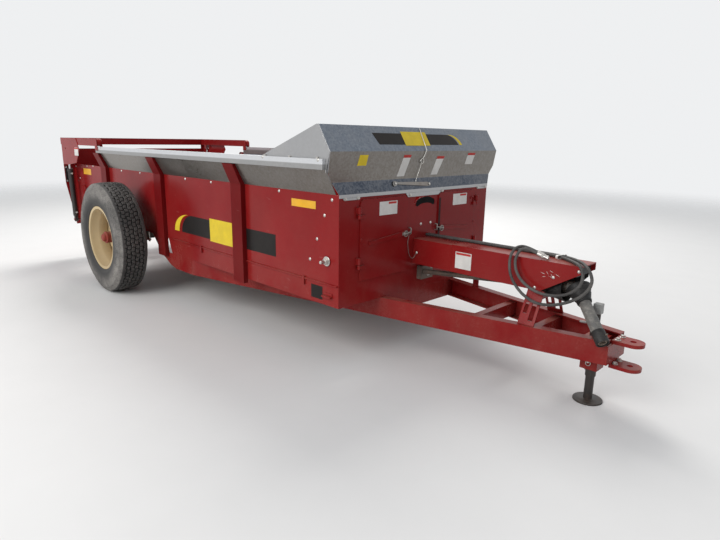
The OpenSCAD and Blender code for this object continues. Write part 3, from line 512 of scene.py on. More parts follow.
def film(name, colour, roughness=0.35, grime=0.025, share=1, slot="black_plastic"):
    """Sticker film, sun-faded in blotches and greyed by dust, with scuffed specks."""
    f = Finish(name, slot, Specular_IOR_Level=0.12)
    fade = f.blotch(0.35, 0.7, 12, 5, 0.65)
    faded = tuple(c * 0.86 + 0.004 for c in colour)
    speck = f.blotch(0.66, 0.72, 210, 4, 0.75)
    dirt = f.times(f.plus(f.dust(grime, 0.04, 0.08), f.times(speck, 0.12)), share)
    return f.made(f.mix(dirt, f.mix(fade, faded, colour), DUST), f.plus(roughness, f.times(dirt, 0.5)),
                  f.noise(30), 0.12, 0.0006)


RED = painted("red_enamel", (0.24, 0.0062, 0.0078), (0.185, 0.0042, 0.0055))
# The stakes' enamel is a darker copy of the red: painted shade.
RED_STAKE_SHADED = painted("stake_red_painted_shade", (0.15, 0.0045, 0.0058), (0.115, 0.0032, 0.0042), film=0.008, gloss=0.34,
                    ground=0.03, shine=0.05)
RED_WHEEL = painted("hub_red", (0.27, 0.022, 0.014), (0.19, 0.012, 0.01), film=0.1, gloss=0.4)
ZINC = galvanised("zinc_sheet")
ZINC_RAIL = galvanised("zinc_rail", True)
TYRE = rubber("tyre_rubber", (0.028, 0.027, 0.027), 0.52, grooved=True)
HOSE = rubber("hose_rubber", (0.018, 0.018, 0.019), 0.28)
BOARDS = timber("floor_timber")
CREAM = painted("cream_enamel", (0.56, 0.44, 0.255), (0.46, 0.35, 0.19), film=0.12, gloss=0.42, rust=0.9,
                slot="cream_paint")
DARK = steel("dark_steel", (0.085, 0.083, 0.082), 0.45)
IRON = steel("worn_iron", (0.3, 0.295, 0.285), 0.3, 0.38, 0.85)
CHROME = steel("chromed_rod", (0.74, 0.74, 0.75), 0.04, 0.12, 1, 0.05, slot="rod_chrome")
BOLT = zinc_bolt("plated_bolt")
BLACK = plastic("guard_plastic", (0.01, 0.01, 0.011), 0.08, 0.22)
GREY = plastic("dusty_tube", (0.11, 0.108, 0.104), 0.6, 0.3)
BLACK_STEEL = steel("black_steel", (0.02, 0.02, 0.021), 0.15, 0.45, 0.3, 0.03, 0.05)
GREY_STEEL = steel("grey_steel", (0.36, 0.38, 0.385), 0.08, 0.45, 0.5, 0.08, 0.1, slot="galvanised")
BLACK_FILM = film("black_band", (0.01, 0.0085, 0.0085), share=0.45)
OPENING_SHADE = film("opening_shade", (0.004, 0.003, 0.003), 0.85, 0, 0.1)
# Painted shade for the strip along the left door's inner edge.
DOOR_SHADE_FILM = film("shadow_line", (0.03, 0.003, 0.004), 0.6, slot="dark_steel")
YELLOW_FILM = film("yellow_band", (0.74, 0.55, 0.03))
AMBER = film("amber_reflector", (0.8, 0.42, 0.02), 0.22, 0.12)
WHITE_FILM = film("white_plate", (0.7, 0.69, 0.66))
RED_FILM = film("red_strip", (0.5, 0.035, 0.03), slot="red_paint")
WHITE_TIE = plastic("white_tie", (0.72, 0.71, 0.68), 0.2)


# Hoses

HOSE_R = 0.009
HOSE_END = np.array([0.96, 0, -0.28])
HOSE_A = mm(
    (2970, 52, 821.4), (3000, 52, 821.4), (3030, 52, 821.4), (3075, 52, 821.4), (3150, 52, 821.4),
    (3270, 52, 821.4), (3410, 52, 821.6), (3560, 52, 821.6), (3700, 52, 821.6), (3830, 52, 822),
    (3930, 46, 822.5), (4020, 22, 823), (4090, -22, 823.5), (4142, -68, 824), (4180, -104, 823),
    (4208, -128, 803), (4222, -139, 768), (4216, -143, 724), (4186, -145, 682), (4134, -147, 648),
    (4066, -148, 629), (3990, -149, 627), (3918, -148, 646), (3860, -146, 682), (3822, -142, 728),
    (3805, -136, 780), (3805, -128, 812), (3810, -117, 838), (3823, -103, 857), (3845, -90, 864),
    (3871, -82, 858.7), (3895, -82, 851.7), (3919, -82, 844.7))
HOSE_B = mm(
    (2970, 76, 821.4), (3000, 76, 821.4), (3030, 76, 821.4), (3075, 76, 821.4), (3150, 76, 821.4),
    (3270, 76, 821.4), (3410, 76, 821.6), (3560, 76, 821.6), (3700, 76, 821.8), (3840, 76, 822),
    (3960, 68, 823), (4060, 40, 824), (4134, -10, 825), (4190, -66, 825), (4232, -110, 815),
    (4262, -134, 790), (4276, -143, 752), (4264, -147, 706), (4222, -150, 654), (4150, -153, 606),
    (4062, -155, 573), (3968, -155, 566), (3884, -154, 598), (3822, -151, 650), (3786, -147, 706),
    (3771, -141, 764), (3770, -132, 815), (3776, -118, 845), (3786, -100, 863), (3799, -80, 870),
    (3814, -63, 870), (3832, -51, 865), (3853, -46, 858.7), (3877, -46, 851.7), (3901, -46, 844.7))


def smooth_path(points, steps):
    """The curve through all points whose slope at each is half the step between its neighbours."""
    p = np.asarray(points, float)
    ends = np.vstack([p[:1], p, p[-1:]])[:, None]
    p0, p1, p2, p3 = ends[:-3], ends[1:-2], ends[2:-1], ends[3:]
    u = (np.arange(steps) / steps)[:, None]
    curve = 0.5 * (2 * p1 + (p2 - p0) * u + (2 * p0 - 5 * p1 + 4 * p2 - p3) * u ** 2
                   + (3 * p1 - p0 - 3 * p2 + p3) * u ** 3)
    return np.vstack([curve.reshape(-1, 3), p[-1:]])


def make_hose(name, route):
    """A hose as a round tube on its route, and the coupler that goes on from its end.

    The coupler is a quick coupler's male tip: crimped sleeve, hexagon, shoulder and probe.
    """
    sleeve = mm((13, 0), (13.6, 3), (13.6, 7), (12.4, 8), (12.4, 11), (13.6, 12), (13.6, 16), (12.4, 17),
                (12.4, 20), (13.6, 21), (13.6, 27), (11, 29))
    nut = mm((12.5, 29), (13.5, 30), (13.5, 39), (12.5, 40))
    nose = mm((9, 40), (9.8, 41), (9.8, 50), (7.6, 52), (7.6, 58), (9.2, 60), (9.2, 70), (7, 72), (5, 72),
              (5, 66))
    shapes = [turned(form, route[-1], HOSE_END, steps) for form, steps in ((sleeve, 24), (nut, 6), (nose, 24))]
    tip = piece(name + "_coupler", shapes, BOLT, replaces=["hose_couplers"])
    path = smooth_path(route, 12)
    tube = piece(name + "_tube", [rod(path, HOSE_R, 14)], HOSE, replaces=[name])


make_hose("hose_a", HOSE_A)
make_hose("hose_b", HOSE_B)


# Fasteners, made along Z from the face that they sit on

def hex_nut(radius, height):
    """A six-sided nut or bolt head with a chamfered top."""
    return turned([(radius * 0.98, 0), (radius, 0.001), (radius, height * 0.85), (radius * 0.88, height)],
                  steps=6)


def stud(radius, height):
    return turned([(radius, 0), (radius, height - 0.002), (radius - 0.002, height)], steps=12)


def washer(radius, height=0.003):
    return turned([(radius, 0), (radius, height - 0.0007), (radius - 0.0012, height)], steps=20)


def hex_bolt(size, height):
    """A hexagon head on its washer."""
    return joined(washer(size * 0.82), shift(hex_nut(size * 0.577 * 1.05, height), 0.0025))


def carriage_bolt(radius=0.011, height=0.005):
    """A low round head: its height falls as the square of the distance from its middle."""
    r = radius * np.array([1, 1, 0.86, 0.62, 0.34, 0.06])
    h = height * np.array([0, 0.12, 0.42, 0.74, 0.93, 1])
    return turned(np.c_[r, h], steps=20)


# Tyres and wheels

GROOVE_DEEP, CUT_DEEP = 0.0115, 0.0095
TREAD_HALF, RIB = 0.109, 0.038
PITCHES = 80


def tyre(side, word):
    """A truck tyre as one grid: angle along it, and a section from bead to bead across it.

    The section is the carcass; the tread's five grooves wander in a zigzag with the angle, and the
    cross cuts of the four middle ribs are lowered rows, bent one way or the other from rib to rib.
    """
    wall = mm((286.2, 32.6), (305.8, 32.6), (308.3, 20), (322, 13), (336, 9), (340, 6.5), (348, 5.5),
              (365, 3), (402, 0), (430, 1), (452, 4), (468, 7.5), (471, 6), (476, 6.5), (480, 10), (497, 19),
              (509, 23), (516, 26)) - [0, TYRE_W / 2]
    columns = [(-TREAD_HALF, 0), (-0.104, 0), (-0.096, 0)]
    for g in RIB * np.arange(-2, 3):
        columns += [(g - 0.0062, 0), (g - 0.0049, 1), (g + 0.0049, 1), (g + 0.0062, 0), (g + RIB / 2, 0)]
    columns[-1:] = [(0.096, 0), (0.104, 0), (TREAD_HALF, 0)]
    across, deep = np.array(columns).T
    crown = TYRE_R - 0.0075 * (np.abs(across) / TREAD_HALF) ** 3
    shares = np.array([0, 0.03, 0.24, 0.27, 0.38, 0.5, 0.75])
    cut = np.array([0, 1, 1, 0, 0, 0, 0])
    turn = ((np.arange(PITCHES)[:, None] + shares) / PITCHES * 2 * pi).ravel()
    cuts = np.tile(cut, PITCHES)[:, None] * (np.abs(across) < 0.09)
    zig = 0.005 * (2 / pi) * np.arcsin(np.sin(turn * PITCHES / 2))
    lean = 0.012 * np.sin(across / RIB * pi) / TYRE_R
    sink = np.maximum(deep * GROOVE_DEEP, cuts * CUT_DEEP)
    left = np.broadcast_to(wall, (len(turn),) + wall.shape)
    right = left[:, ::-1] * [1, -1]
    radius = np.hstack([left[..., 0], crown - sink, right[..., 0]])
    lateral = np.hstack([left[..., 1], across + zig[:, None] * (np.abs(across) < 0.085), right[..., 1]])
    flat = np.broadcast_to(turn[:, None], left.shape[:2])
    angle = np.hstack([flat, turn[:, None] + lean, flat])
    grid = np.stack([radius * np.cos(angle), lateral + WHEEL_Y, AXLE_Z + radius * np.sin(angle)], -1)
    made = piece(f"tyre_{word}_tread", [on_side(surface(grid, ring=True), side)], TYRE,
                 "wheel_" + word[0], [f"tyre_{word}"], crease=50)
    groove = np.zeros(radius.shape, np.float32)
    groove[:, len(wall):-len(wall)] = sink / GROOVE_DEEP
    made.data.attributes.new("groove", "FLOAT", "POINT").data.foreach_set("value", groove.ravel())


def holed_disc(inner, outer, holes, hole_r, hole_at, depth, thick):
    """A ring plate with round holes: in each sector, rings run from the hole out to its edges.

    A corner is (1 - k) times a point on the hole's circle plus k times the point where the same
    direction meets the sector's outline; depth(r) gives how far the plate is dished there.
    """
    steps, rings = 32, 5
    width = 2 * pi / holes
    t = np.arange(steps) * 2 * pi / steps + pi / steps
    across, up = np.cos(t), np.sin(t)
    reach = 1 / np.maximum(np.abs(across), np.abs(up))
    rim_r = hole_at + reach * up * np.where(up > 0, outer - hole_at, hole_at - inner)
    rim_a = reach * across * width / 2
    edge = np.c_[rim_r * np.cos(rim_a), rim_r * np.sin(rim_a)]
    hole = np.c_[hole_at + hole_r * up, hole_r * across]
    k = np.linspace(0, 1, rings)[:, None, None]
    sector = hole * (1 - k) + edge * k
    h = depth(np.hypot(sector[..., 0], sector[..., 1]))
    loop = np.vstack([np.dstack([sector, h]), np.dstack([sector, h - thick])[::-1]])
    shapes = []
    for i in range(holes):
        c, s = cos(i * width), sin(i * width)
        shapes.append(surface(loop @ np.array([[c, s, 0], [-s, c, 0], [0, 0, 1]]), ring=True))
    return joined(*shapes)


def wheel(side, word):
    """The deep-dished disc wheel: rim, holed disc, hub with its flange and nuts, and grease cap."""
    name, body = "wheel_" + word, "wheel_" + word[0]
    centre = np.array([0, WHEEL_Y, AXLE_Z])
    edge, seat = TYRE_W / 2 - 0.032, 0.2833
    lip = mm((285.3, -2), (296, 0), (304.8, 3), (304.8, 8.5), (298.5, 9.2), (291, 8.5), (279.5, 6),
             (275.5, -6)) + [0, edge]
    outside = [(0.2735, 0.03 - edge), *mm((256, -50), (249, -35), (249, 30), (256, 45)), (0.2735, edge - 0.025)]
    inside = [(seat, edge - 0.015), *mm((264, 50), (256, 26), (256, -30), (264, -56)), (seat, 0.018 - edge)]
    rim = turned(np.vstack([lip * [1, -1], outside, lip[::-1], inside]), centre, Y, 96, ring=True)
    disc = holed_disc(0.07, 0.25, 10, 0.019, 0.196,
                      lambda r: -0.08 + 0.028 * np.clip((r - 0.15) / 0.1, 0, 1) ** 2, 0.011)
    piece(name + "_rim", [on_side(joined(rim, copies(disc, centre, Y)), side)], CREAM, body, [name], crease=40)
    hub = mm((1, -104), (60, -104), (74, -100), (80, -93), (112, -90), (116, -86), (116, -76), (112, -72),
             (74, -70), (62, -58), (56, -40), (54, 52), (57, 56), (57, 70), (50, 75), (41, 76), (40, 81),
             (38, 90), (33, 98), (24, 102.5), (1, 103.5))
    piece(name + "_hub", [on_side(turned(hub, centre, Y, 40), side)], RED_WHEEL, body)
    nut_spots = centre - 0.072 * Y + circle(8, 0.094 * X, 0.094 * Z)
    nuts = copies(joined(hex_nut(0.017, 0.018), stud(0.009, 0.03)), nut_spots, Y)
    valve = rod(mm((0, 40, 249), (0, 66, 243), (0, 94, 238)) + centre, [0.008, 0.005, 0.004])
    piece(name + "_nuts", [on_side(joined(nuts, valve), side)], BOLT, body)


for side, word in SIDES:
    tyre(side, word)
    wheel(side, word)


# Films lie just off the faces that carry them

FILM_T, FILM_GAP = 0.0006, 0.0003


def patch(outline, origin, u, v):
    """A thin film whose outline lies just off a face that u x v looks out of."""
    return plate(outline, np.asarray(origin) + FILM_GAP * np.cross(unit(u), unit(v)), u, v, FILM_T)


def flank(outline, y=BOX_Y):
    """A film on an upright face that looks to the left, from its (x, z) points."""
    return patch(np.array(outline) * [-1, 1], (0, y, 0), -X, Z)


def leaning(face, outline, lift=0, thick=FILM_T):
    """A film on a face that leans along x: the face is two (x, z) points, the outline (y, z) ones."""
    (x0, z0), (x1, z1) = face
    up = unit([x1 - x0, 0, z1 - z0])
    flat = (np.array(outline, float) - [0, z0]) / [1, up[2]]
    return plate(flat, np.array([x0, 0, z0]) + (FILM_GAP + lift) * np.cross(Y, up), Y, up, thick)


# Side of the box

BAND_LOW, BAND_HIGH = 0.665, 0.825


def band_end(x, reach):
    """A quarter of an ellipse, from the band's upper edge back and down to its lower one."""
    t = np.radians(np.linspace(90, 180, 12))
    return np.c_[x + reach * np.cos(t), BAND_LOW + (BAND_HIGH - BAND_LOW) * np.sin(t)]


# Carriage bolts in their rows: up the front edge, along the top edge and on the rail
front_row = mm((2905, 1123), (2835, 1019), (2761, 858), (2689, 713))
top_row = [(x, BOX_TOP - 0.018) for x in (-0.34, 0.11, 1.02, 1.45, 2.36)]
small = copies(carriage_bolt(), spots([*front_row, *top_row], y=BOX_Y), Y)
rail = copies(carriage_bolt(0.01, 0.004), [(x, RAIL_Y, 1.366) for x in (-0.55, 2.334, 2.9)], Y)
rail_top = copies(hex_bolt(0.014, 0.008), [(x, RAIL_Y - 0.022, RAIL_TOP) for x in (2.33, 2.6, 2.87)])
sides("side_bolts", [joined(small, rail, rail_top)], BOLT)

# The apron's take-up: a big washer, and the idler shaft's end with its nut
at = (2.862, BOX_Y + 0.005, 0.727)
gear = [washer(0.032, 0.004), shift(hex_nut(0.021, 0.018), 0.004), shift(stud(0.0115, 0.052), 0.004)]
sides("take_up_bolts", [copies(shape, at, Y) for shape in gear], BOLT)

# The side sheet's lower hem over the skirt, with short clips standing off it
hems = [block((0.64, BOX_Y, SEAM_Z - 0.005), (BOX_FRONT - 0.01, BOX_Y + 0.01, SEAM_Z + 0.004)),
        block((SIDE_REAR, BOX_Y, SEAM_Z), (0.3, BOX_Y + 0.003, SEAM_Z + 0.006))]
clips = [block((x, BOX_Y, SEAM_Z - 0.046), (x + 0.018, BOX_Y + 0.013, SEAM_Z + 0.012)) for x in (1.24, 2.62)]
sides("seam_lap", hems + clips, RED, bevel=0.0012)

# The dark band with the bright swoosh behind it, the plates and the reflectors
dark = np.vstack([[(2.31, BAND_LOW), (2.31, BAND_HIGH)], band_end(1.1, 0.19)])
swoosh = np.vstack([band_end(1.03, 0.255), band_end(1.045, 0.185)[::-1]])
sides("band_dark", [flank(dark)], BLACK_FILM)
sides("band_bright", [flank(swoosh), flank(square(1.4, 1.87, 0.65, 0.84), BOX_Y + FILM_T)], YELLOW_FILM)
sides("side_small_plate", [flank(square(2.815, 2.7, 0.458, 0.548))], BLACK_FILM)
inner = BOX_Y - 0.0002
sides("side_tab", [block((2.828, inner, 0.488), (2.912, BOX_Y + 0.024, 0.498)),
                   block((2.828, inner, 0.4982), (2.912, BOX_Y + 0.005, 0.518))], RED, bevel=0.001)
reflectors = [square(-2.5, -2.75, 1.05, 1.1), square(1.46, 1.22, 1.045, 1.112)]
sides("side_reflector", [plate(o[::-1], (0, BOX_Y, 0), -X, Z, 0.0012) for o in reflectors], AMBER)


# Hood: its leaning faces carry the band, the plates and a wire hook

HOOD_FRONT = ((BOX_FRONT - 0.018, 1.232), (BOX_FRONT + 0.015, 1.418))
HOOD_TOP = ((BOX_FRONT + 0.015, 1.418), (BOX_FRONT - 0.088, 1.577))
HOOD_LOW = ((BOX_FRONT + 0.004, 1.157), (BOX_FRONT - 0.018, 1.232))
DOOR = ((DOOR_FACE, 0), (DOOR_FACE, 1))

# The band's right end is square and its left end runs out in a curve, with a bright edge
t = np.radians(np.linspace(0, 90, 10))
tail = np.c_[0.3 + 0.11 * np.sin(t), 1.46 + 0.072 * np.cos(t)]
dark = np.vstack([[(-0.485, 1.532), (-0.455, 1.46)], tail[::-1]])
edge = np.vstack([tail + [0.016, 0], (tail + [0.048, 0])[::-1]])
piece("hood_band", [leaning(HOOD_TOP, dark)], BLACK_FILM)
piece("hood_yellow", [leaning(HOOD_TOP, edge), leaning(HOOD_TOP, square(-0.2, 0.065, 1.453, 1.545), 0.0007),
                      leaning(HOOD_FRONT, mm((-670, 1330), (-590, 1330), (-580, 1396), (-655, 1396)))],
      YELLOW_FILM)
slips = [mm((-280, 1250), (-205, 1250), (-166, 1374), (-240, 1374)),
         mm((90, 1250), (163, 1250), (210, 1362), (127, 1362)),
         mm((492, 1317), (588, 1317), (604, 1384), (509, 1384))]
tops = [mm((-240, 1374.6), (-166, 1374.6), (-160, 1393), (-235, 1393)),
        mm((127, 1362.6), (210, 1362.6), (217, 1381), (133, 1381)),
        mm((509, 1384.6), (604, 1384.6), (609, 1402), (513, 1402))]
piece("hood_slips", [leaning(HOOD_FRONT, o) for o in slips], WHITE_FILM)
piece("hood_slip_tops", [leaning(HOOD_FRONT, o) for o in tops], RED_FILM)

# A flat bar with an eye, held by a bent wire that comes through the hood's top edge
wire = mm((2868, 30, 1552), (2876, 28, 1567), (2889, 24, 1570), (2922, 10, 1528), (2992, -12, 1425),
          (2986, -26, 1385), (2979, -40, 1366))
loop = np.array([2.982, -0.044, 1.35]) + circle(24, 0.016 * Y, 0.016 * Z)
tail = mm((2980, -46, 1338), (2972, -60, 1290), (2962, -78, 1225), (2966, -89, 1205))
piece("hood_wire", [rod(wire, 0.0032, 8), rod(np.vstack([loop, loop[:1]]), 0.0028, 8),
                    rod(tail, 0.0018, 8)], BOLT, crease=35)
bar = mm((-330, 1196), (-318, 1184), (-300, 1186), (-285, 1196), (40, 1172), (72, 1176), (74, 1190),
         (40, 1200), (-285, 1212), (-302, 1220), (-322, 1216))
piece("hood_bar", [leaning(HOOD_LOW, bar, 0.004, 0.004)], IRON, slot="galvanised", bevel=0.001)
(x0, z0), (x1, z1) = HOOD_LOW
feet = [(x0 + (x1 - x0) * (z - z0) / (z1 - z0), y, z) for y, z in ((-0.306, 1.202), (0.052, 1.186))]
nut = joined(turned([(0.007, -0.002), (0.007, 0.006)]), shift(hex_nut(0.009, 0.006), 0.009))
piece("hood_bar_nuts", [copies(nut, feet, np.cross(Y, [x1 - x0, 0, z1 - z0]))], BOLT)

# A hem on the hood's top edge, the flange's strips below its fold, and their bolts
strips = [mm((-790, 1134.8), (-786, 1124), (-776, 1119.5), (-652, 1119.5), (-643, 1124), (-640, 1134.8)),
          mm((-200, 1134.8), (-172, 1105), (172, 1105), (192, 1119.5), (226, 1122), (240, 1134.8)),
          mm((668, 1134.8), (672, 1123), (684, 1119.5), (796, 1119.5), (802, 1134.8))]
shapes = [plate(o, (BOX_FRONT + 0.0002, 0, 0), Y, Z, 0.0038) for o in strips]
hem = rod([(BOX_FRONT - 0.09, -0.893, 1.5722), (BOX_FRONT - 0.09, 0.893, 1.5722)], 0.0045)
piece("hood_strips", shapes + [hem], ZINC, bevel=0.0008)
rows = mm((-771, 1130), (-660, 1130), (-152, 1119), (212, 1130), (684, 1131), (788, 1132))
piece("hood_bolts", [copies(hex_bolt(0.013, 0.007), spots(rows, x=BOX_FRONT + 0.0042), X)], BOLT)


# Front wall and its doors

for word, outline, strip in (
        ("right", square(-0.466, -0.29, 1.003, 1.093), square(-0.378, -0.3, 1.074, 1.088)),
        ("left", square(0.35, 0.53, 1.013, 1.098), square(0.44, 0.52, 1.079, 1.093))):
    piece("door_plate_" + word, [leaning(DOOR, outline)], WHITE_FILM, "front_door_" + word[0])
    piece("door_strip_" + word, [leaning(DOOR, strip, FILM_T)], RED_FILM, "front_door_" + word[0])

# Flat spring latches on the doors' bars, with their rivets and clips, and the left door's hook
clip = [block((DOOR_FACE + 0.0081, 0.18, 0.845), (DOOR_FACE + 0.0105, 0.236, 0.866)),
        rod(mm((10, 228, 856), (22, 217, 857), (26, 190, 861), (20, 160, 866), (8, 148, 868))
            + DOOR_FACE * X, 0.005),
        ring_of((DOOR_FACE + 0.016, 0.204, 0.855), 0.019, 0.0036, X)]
sides("door_latch", clip, IRON, "front_door_", bevel=0.0008)
rivet = copies(carriage_bolt(0.008, 0.004), (DOOR_FACE + 0.008, 0.64, 0.862), X)
sides("door_rivets", [rivet], RED, "front_door_", crease=30)
hook = mm((582, 1050), (590, 1060), (606, 1062), (620, 1056), (624, 1044), (623, 1020), (624, 996))
hook = smooth_path(spots(hook, x=DOOR_FACE + 0.0045), 3)
piece("door_hook", [rod(hook, 0.0042, 8)], RED, "front_door_l")
# A dark strip along the left door's inner edge is painted shade.
piece("door_shade", [leaning(DOOR, square(0.1755, 0.198, 0.62, 1.08))], DOOR_SHADE_FILM, "front_door_l")

# The wall's crescent slot with its hem, the doors' staples with a safety wire, and bolts
front = BOX_FRONT * X
crescent = mm((-85, 1040), (-83, 1066), (-53, 1088), (3, 1099), (50, 1101), (94, 1090), (130, 1070),
              (131, 1040), (111, 1036), (88, 1047), (50, 1053), (6, 1053), (-32, 1047), (-63, 1032))
bolts = spots(mm((-16, 903), (95, 904)), x=BOX_FRONT)
piece("wall_bolts", [copies(carriage_bolt(0.011, 0.006), bolts, X)], BOLT)
# A near-black film over the crescent slot is painted shade.
piece("crescent_opening", [patch(crescent, front, Y, Z)], OPENING_SHADE)
piece("crescent_hem", [rod(smooth_path(spots(crescent[:8], x=BOX_FRONT + 0.001), 4), 0.003, 8)], RED)
bend = mm((-1, 150, 846), (18, 150, 846), (22, 150, 850), (22, 150, 886), (18, 150, 890), (-1, 150, 890))
wire = mm((22, -168, 842), (18, -176, 800), (14, -165, 741), (12, -145, 690), (18, -122, 668),
          (28, -108, 682), (36, -104.5, 705), (38, -99, 709))
staples = [rod(bend * [1, side, 1] + front, 0.004) for side, _ in SIDES]
piece("door_staples", staples + [rod(smooth_path(wire + front, 5), 0.0018, 8)], IRON)
block_bolts = spots(mm((39, 530), (75, 585)), x=BOX_FRONT + 0.042)
piece("block_bolts", [copies(hex_bolt(0.016, 0.009), block_bolts, X)], BOLT)


# Shaft cover and what lies on it

piece("cover_plate", [patch(square(3.344, 3.47, 0.659, 0.771), -COVER_Y * Y, X, Z)], WHITE_FILM)
piece("cover_strip", [patch(square(3.35, 3.464, 0.752, 0.766), -(COVER_Y + FILM_T) * Y, X, Z)], RED_FILM)
bolts = spots(mm((3008, 709), (4035, 723), (4181, 783), (3925, 640)), y=-COVER_Y)
near = copies(carriage_bolt(0.01, 0.005), bolts, -Y)
piece("cover_bolts", [near, on_side(near, -1)], BOLT)

# A flat tie: its outline, and that pushed outward, at either edge of its width
wide, tall = 0.029, 0.00175
turns = ((wide, tall, 0), (-wide, tall, 90), (-wide, -tall, 180), (wide, -tall, 270))
outline = np.vstack([arc((w, h), 0.01, a, a + 90, 4) for w, h, a in turns])
across, rows = unit([-0.3, -0.95, 0]), []
for outward, along in ((0, -0.008), (0.0022, -0.008), (0.0022, 0.008), (0, 0.008)):
    flat = outline + outward * unit(outline)
    rows.append([4.01, 0.036, COVER_TOP + 0.0118] + flat[:, :1] * across + flat[:, 1:] * Z
                + along * np.cross(across, Z))
piece("hose_tie", [surface(np.stack(rows), ring=True)], WHITE_TIE)


# Take-off shaft's front half: its bell, its tube with long ribs, and the splined sleeve's end

def take_off(name, shapes, look):
    piece("take_off_" + name, shapes, look, "pto_half", ["shaft_front"])


side_a, side_b = basis(HANG)
bell = mm((66, -3.5), (70.8, -3.5), (70, 2), (65.5, 12), (64, 18), (65.5, 20), (61, 30), (55, 46),
          (56.5, 48), (48, 70), (42, 86), (42.5, 96), (40, 104), (33, 105), (33, 98), (48, 46), (56, 24),
          (65, -1))
take_off("bell", [turned(bell, JOINT_AT, HANG, 40, ring=True)], BLACK)
ribbed = (0.0328 + 0.001 * np.cos(8 * np.arange(48) * 2 * pi / 48))[:, None] * circle(48, side_a, side_b)
tube = surface(np.stack([JOINT_AT + h * HANG + ribbed for h in (0.05, 0.2, 0.31)]))
take_off("tube", [tube], GREY)
cuff = mm((34.5, 300), (36.8, 302), (36.8, 376), (35.5, 379), (30.5, 379), (29, 370), (29, 312), (34.5, 308))
take_off("cuff", [turned(cuff, JOINT_AT, HANG, 40, ring=True)], BLACK)
sleeve = mm((17.8, 318), (26, 318), (26, 372), (24, 374), (17.8, 374))
v = unit(np.cross(np.cross(HANG, Z), HANG))
ear = np.vstack([[(0.052, -0.018), (0.052, 0.018)], arc((0, 0), 0.018, 90, 270, 12)])
ears = [plate(ear, JOINT_AT + (s * 0.027 + 0.005) * np.cross(v, HANG), HANG, v, 0.01) for s in (-1, 1)]
nipple = copies(joined(stud(0.006, 0.008), shift(stud(0.003, 0.006), 0.008)),
                JOINT_AT + 0.345 * HANG + 0.0367 * side_a, side_a)
take_off("yoke", [turned(sleeve, JOINT_AT, HANG, 32, ring=True), nipple] + ears, DARK)
# Painted shade: a black plate across the cover's nose and one on its left cheek's inner face stand in for the
# shaded inside; the cone round the joint is the guard.
nose_shade_plate = block((4.164, -0.093, 0.748), (4.169, 0.093, 0.8055))
line = unit([1, 0, 0.0934])
guard = mm((60, 0), (64, 6), (70, 40), (79, 74), (85, 104), (86.2, 106.5), (83.5, 106.5), (82, 103),
           (76.5, 74), (67.5, 40), (61, 6), (59, 3))
cheek_shade_plate = plate(mm((4012, 640), (4090, 640), (4163, 720), (4163, 805), (4012, 805)), 0.0915 * Y, X, Z, 0.0025)
piece("nose_guard_and_shade", [nose_shade_plate, cheek_shade_plate, turned(guard, JOINT_AT - 0.1745 * line, line, 40, ring=True)], BLACK)


# Parking jack

leg = mm((1, 0.5), (84, 0.5), (84, 8), (82, 10), (30, 10.5), (25.2, 13), (25.2, 158), (30, 158.5),
         (30, 196.5), (40, 197), (40, 208.8), (29.9, 209), (29.9, 440), (18, 440.2), (18, 540), (1, 540.2))
piece("jack_leg", [turned(leg, JACK_AT, Z, 32)], BLACK_STEEL, replaces=["jack"])
pin = rod(mm((0, -50, 262), (0, -64, 262)) + JACK_AT, 0.009, 12)
piece("jack_pin", [pin, ring_of(JACK_AT + [0, -0.058, 0.25], 0.014, 0.0022, Y)], BOLT, crease=35)
low = JACK_AT + [-0.0225, -0.0225, 0.541]
head = [block(low, low + [0.045, 0.045, 0.04]), block(low + [0, 0, 0.0402], low + [0.045, 0.045, 0.0585])]
crank = mm((-22, 0, 565), (-48, 0, 565), (-54, 2, 558), (-56, 4, 480), (-60, 4, 470), (-98, 4, 468)) + JACK_AT
piece("jack_head", head + [rod(crank, 0.007, 12)], GREY_STEEL, replaces=["jack"], bevel=0.003)


# Rear: the gate's plates and bolts

label = mm((-1235, 1262), (-1360, 1262), (-1352, 1352), (-1240, 1352))
sides("cheek_plate", [flank(label, CHEEK_Y)], WHITE_FILM, "rear_gate")
strip = mm((-1240, 1334), (-1353, 1334), (-1352, 1350), (-1241, 1350))
sides("cheek_strip", [flank(strip, CHEEK_Y + FILM_T)], RED_FILM, "rear_gate")
sides("gate_box", [block((-1.7938, 0.846, 0.935), (-1.786, 0.9195, 1.126))], BLACK, "rear_gate",
      bevel=0.002)
corners = spots(mm((858, 950), (858, 1110), (908, 950), (908, 1110)), x=-1.786)
sides("gate_box_bolts", [copies(hex_bolt(0.012, 0.006), corners, X)], BOLT, "rear_gate")
rows = [(-1.8002, y, z) for y in (0.3, 0.62) for z in (0.6, 0.86, 1.12, 1.26)]
sides("gate_bolts", [copies(carriage_bolt(0.011, 0.006), rows, -X)], BOLT, "rear_gate")
rear_row = mm((-1335, 1142), (-1142, 1150), (-1711, 1125), (-1600, 990), (-1350, 700))
rear_row = copies(carriage_bolt(0.01, 0.005), spots(rear_row, y=BOX_Y - 0.0002), Y)
sides("rear_bolts", [rear_row], BOLT)


# Cylinders' heads and ports, the rotor's paddle bolts, the apron's link pins, the axle's clamps

base, eye = np.array([-1.62, 0.907, 0.5]), np.array([-1.66, 0.907, 1.335])
u = unit(eye - base)
head = mm((28.2, 560), (31.5, 562), (31.5, 597), (29, 600.5), (15, 600.5), (15, 598.5), (26.2, 598),
          (28.2, 590))
sides("cylinder_head", [turned(head, base, u, 32, ring=True)], BLACK_STEEL, "cylinder_")
port = joined(stud(0.0105, 0.014), shift(hex_nut(0.012, 0.012), 0.014), shift(stud(0.007, 0.01), 0.026))
ports = [copies(port, base + h * u + 0.0275 * X, X) for h in (0.085, 0.545)]
sides("cylinder_ports", ports, BOLT, "cylinder_")

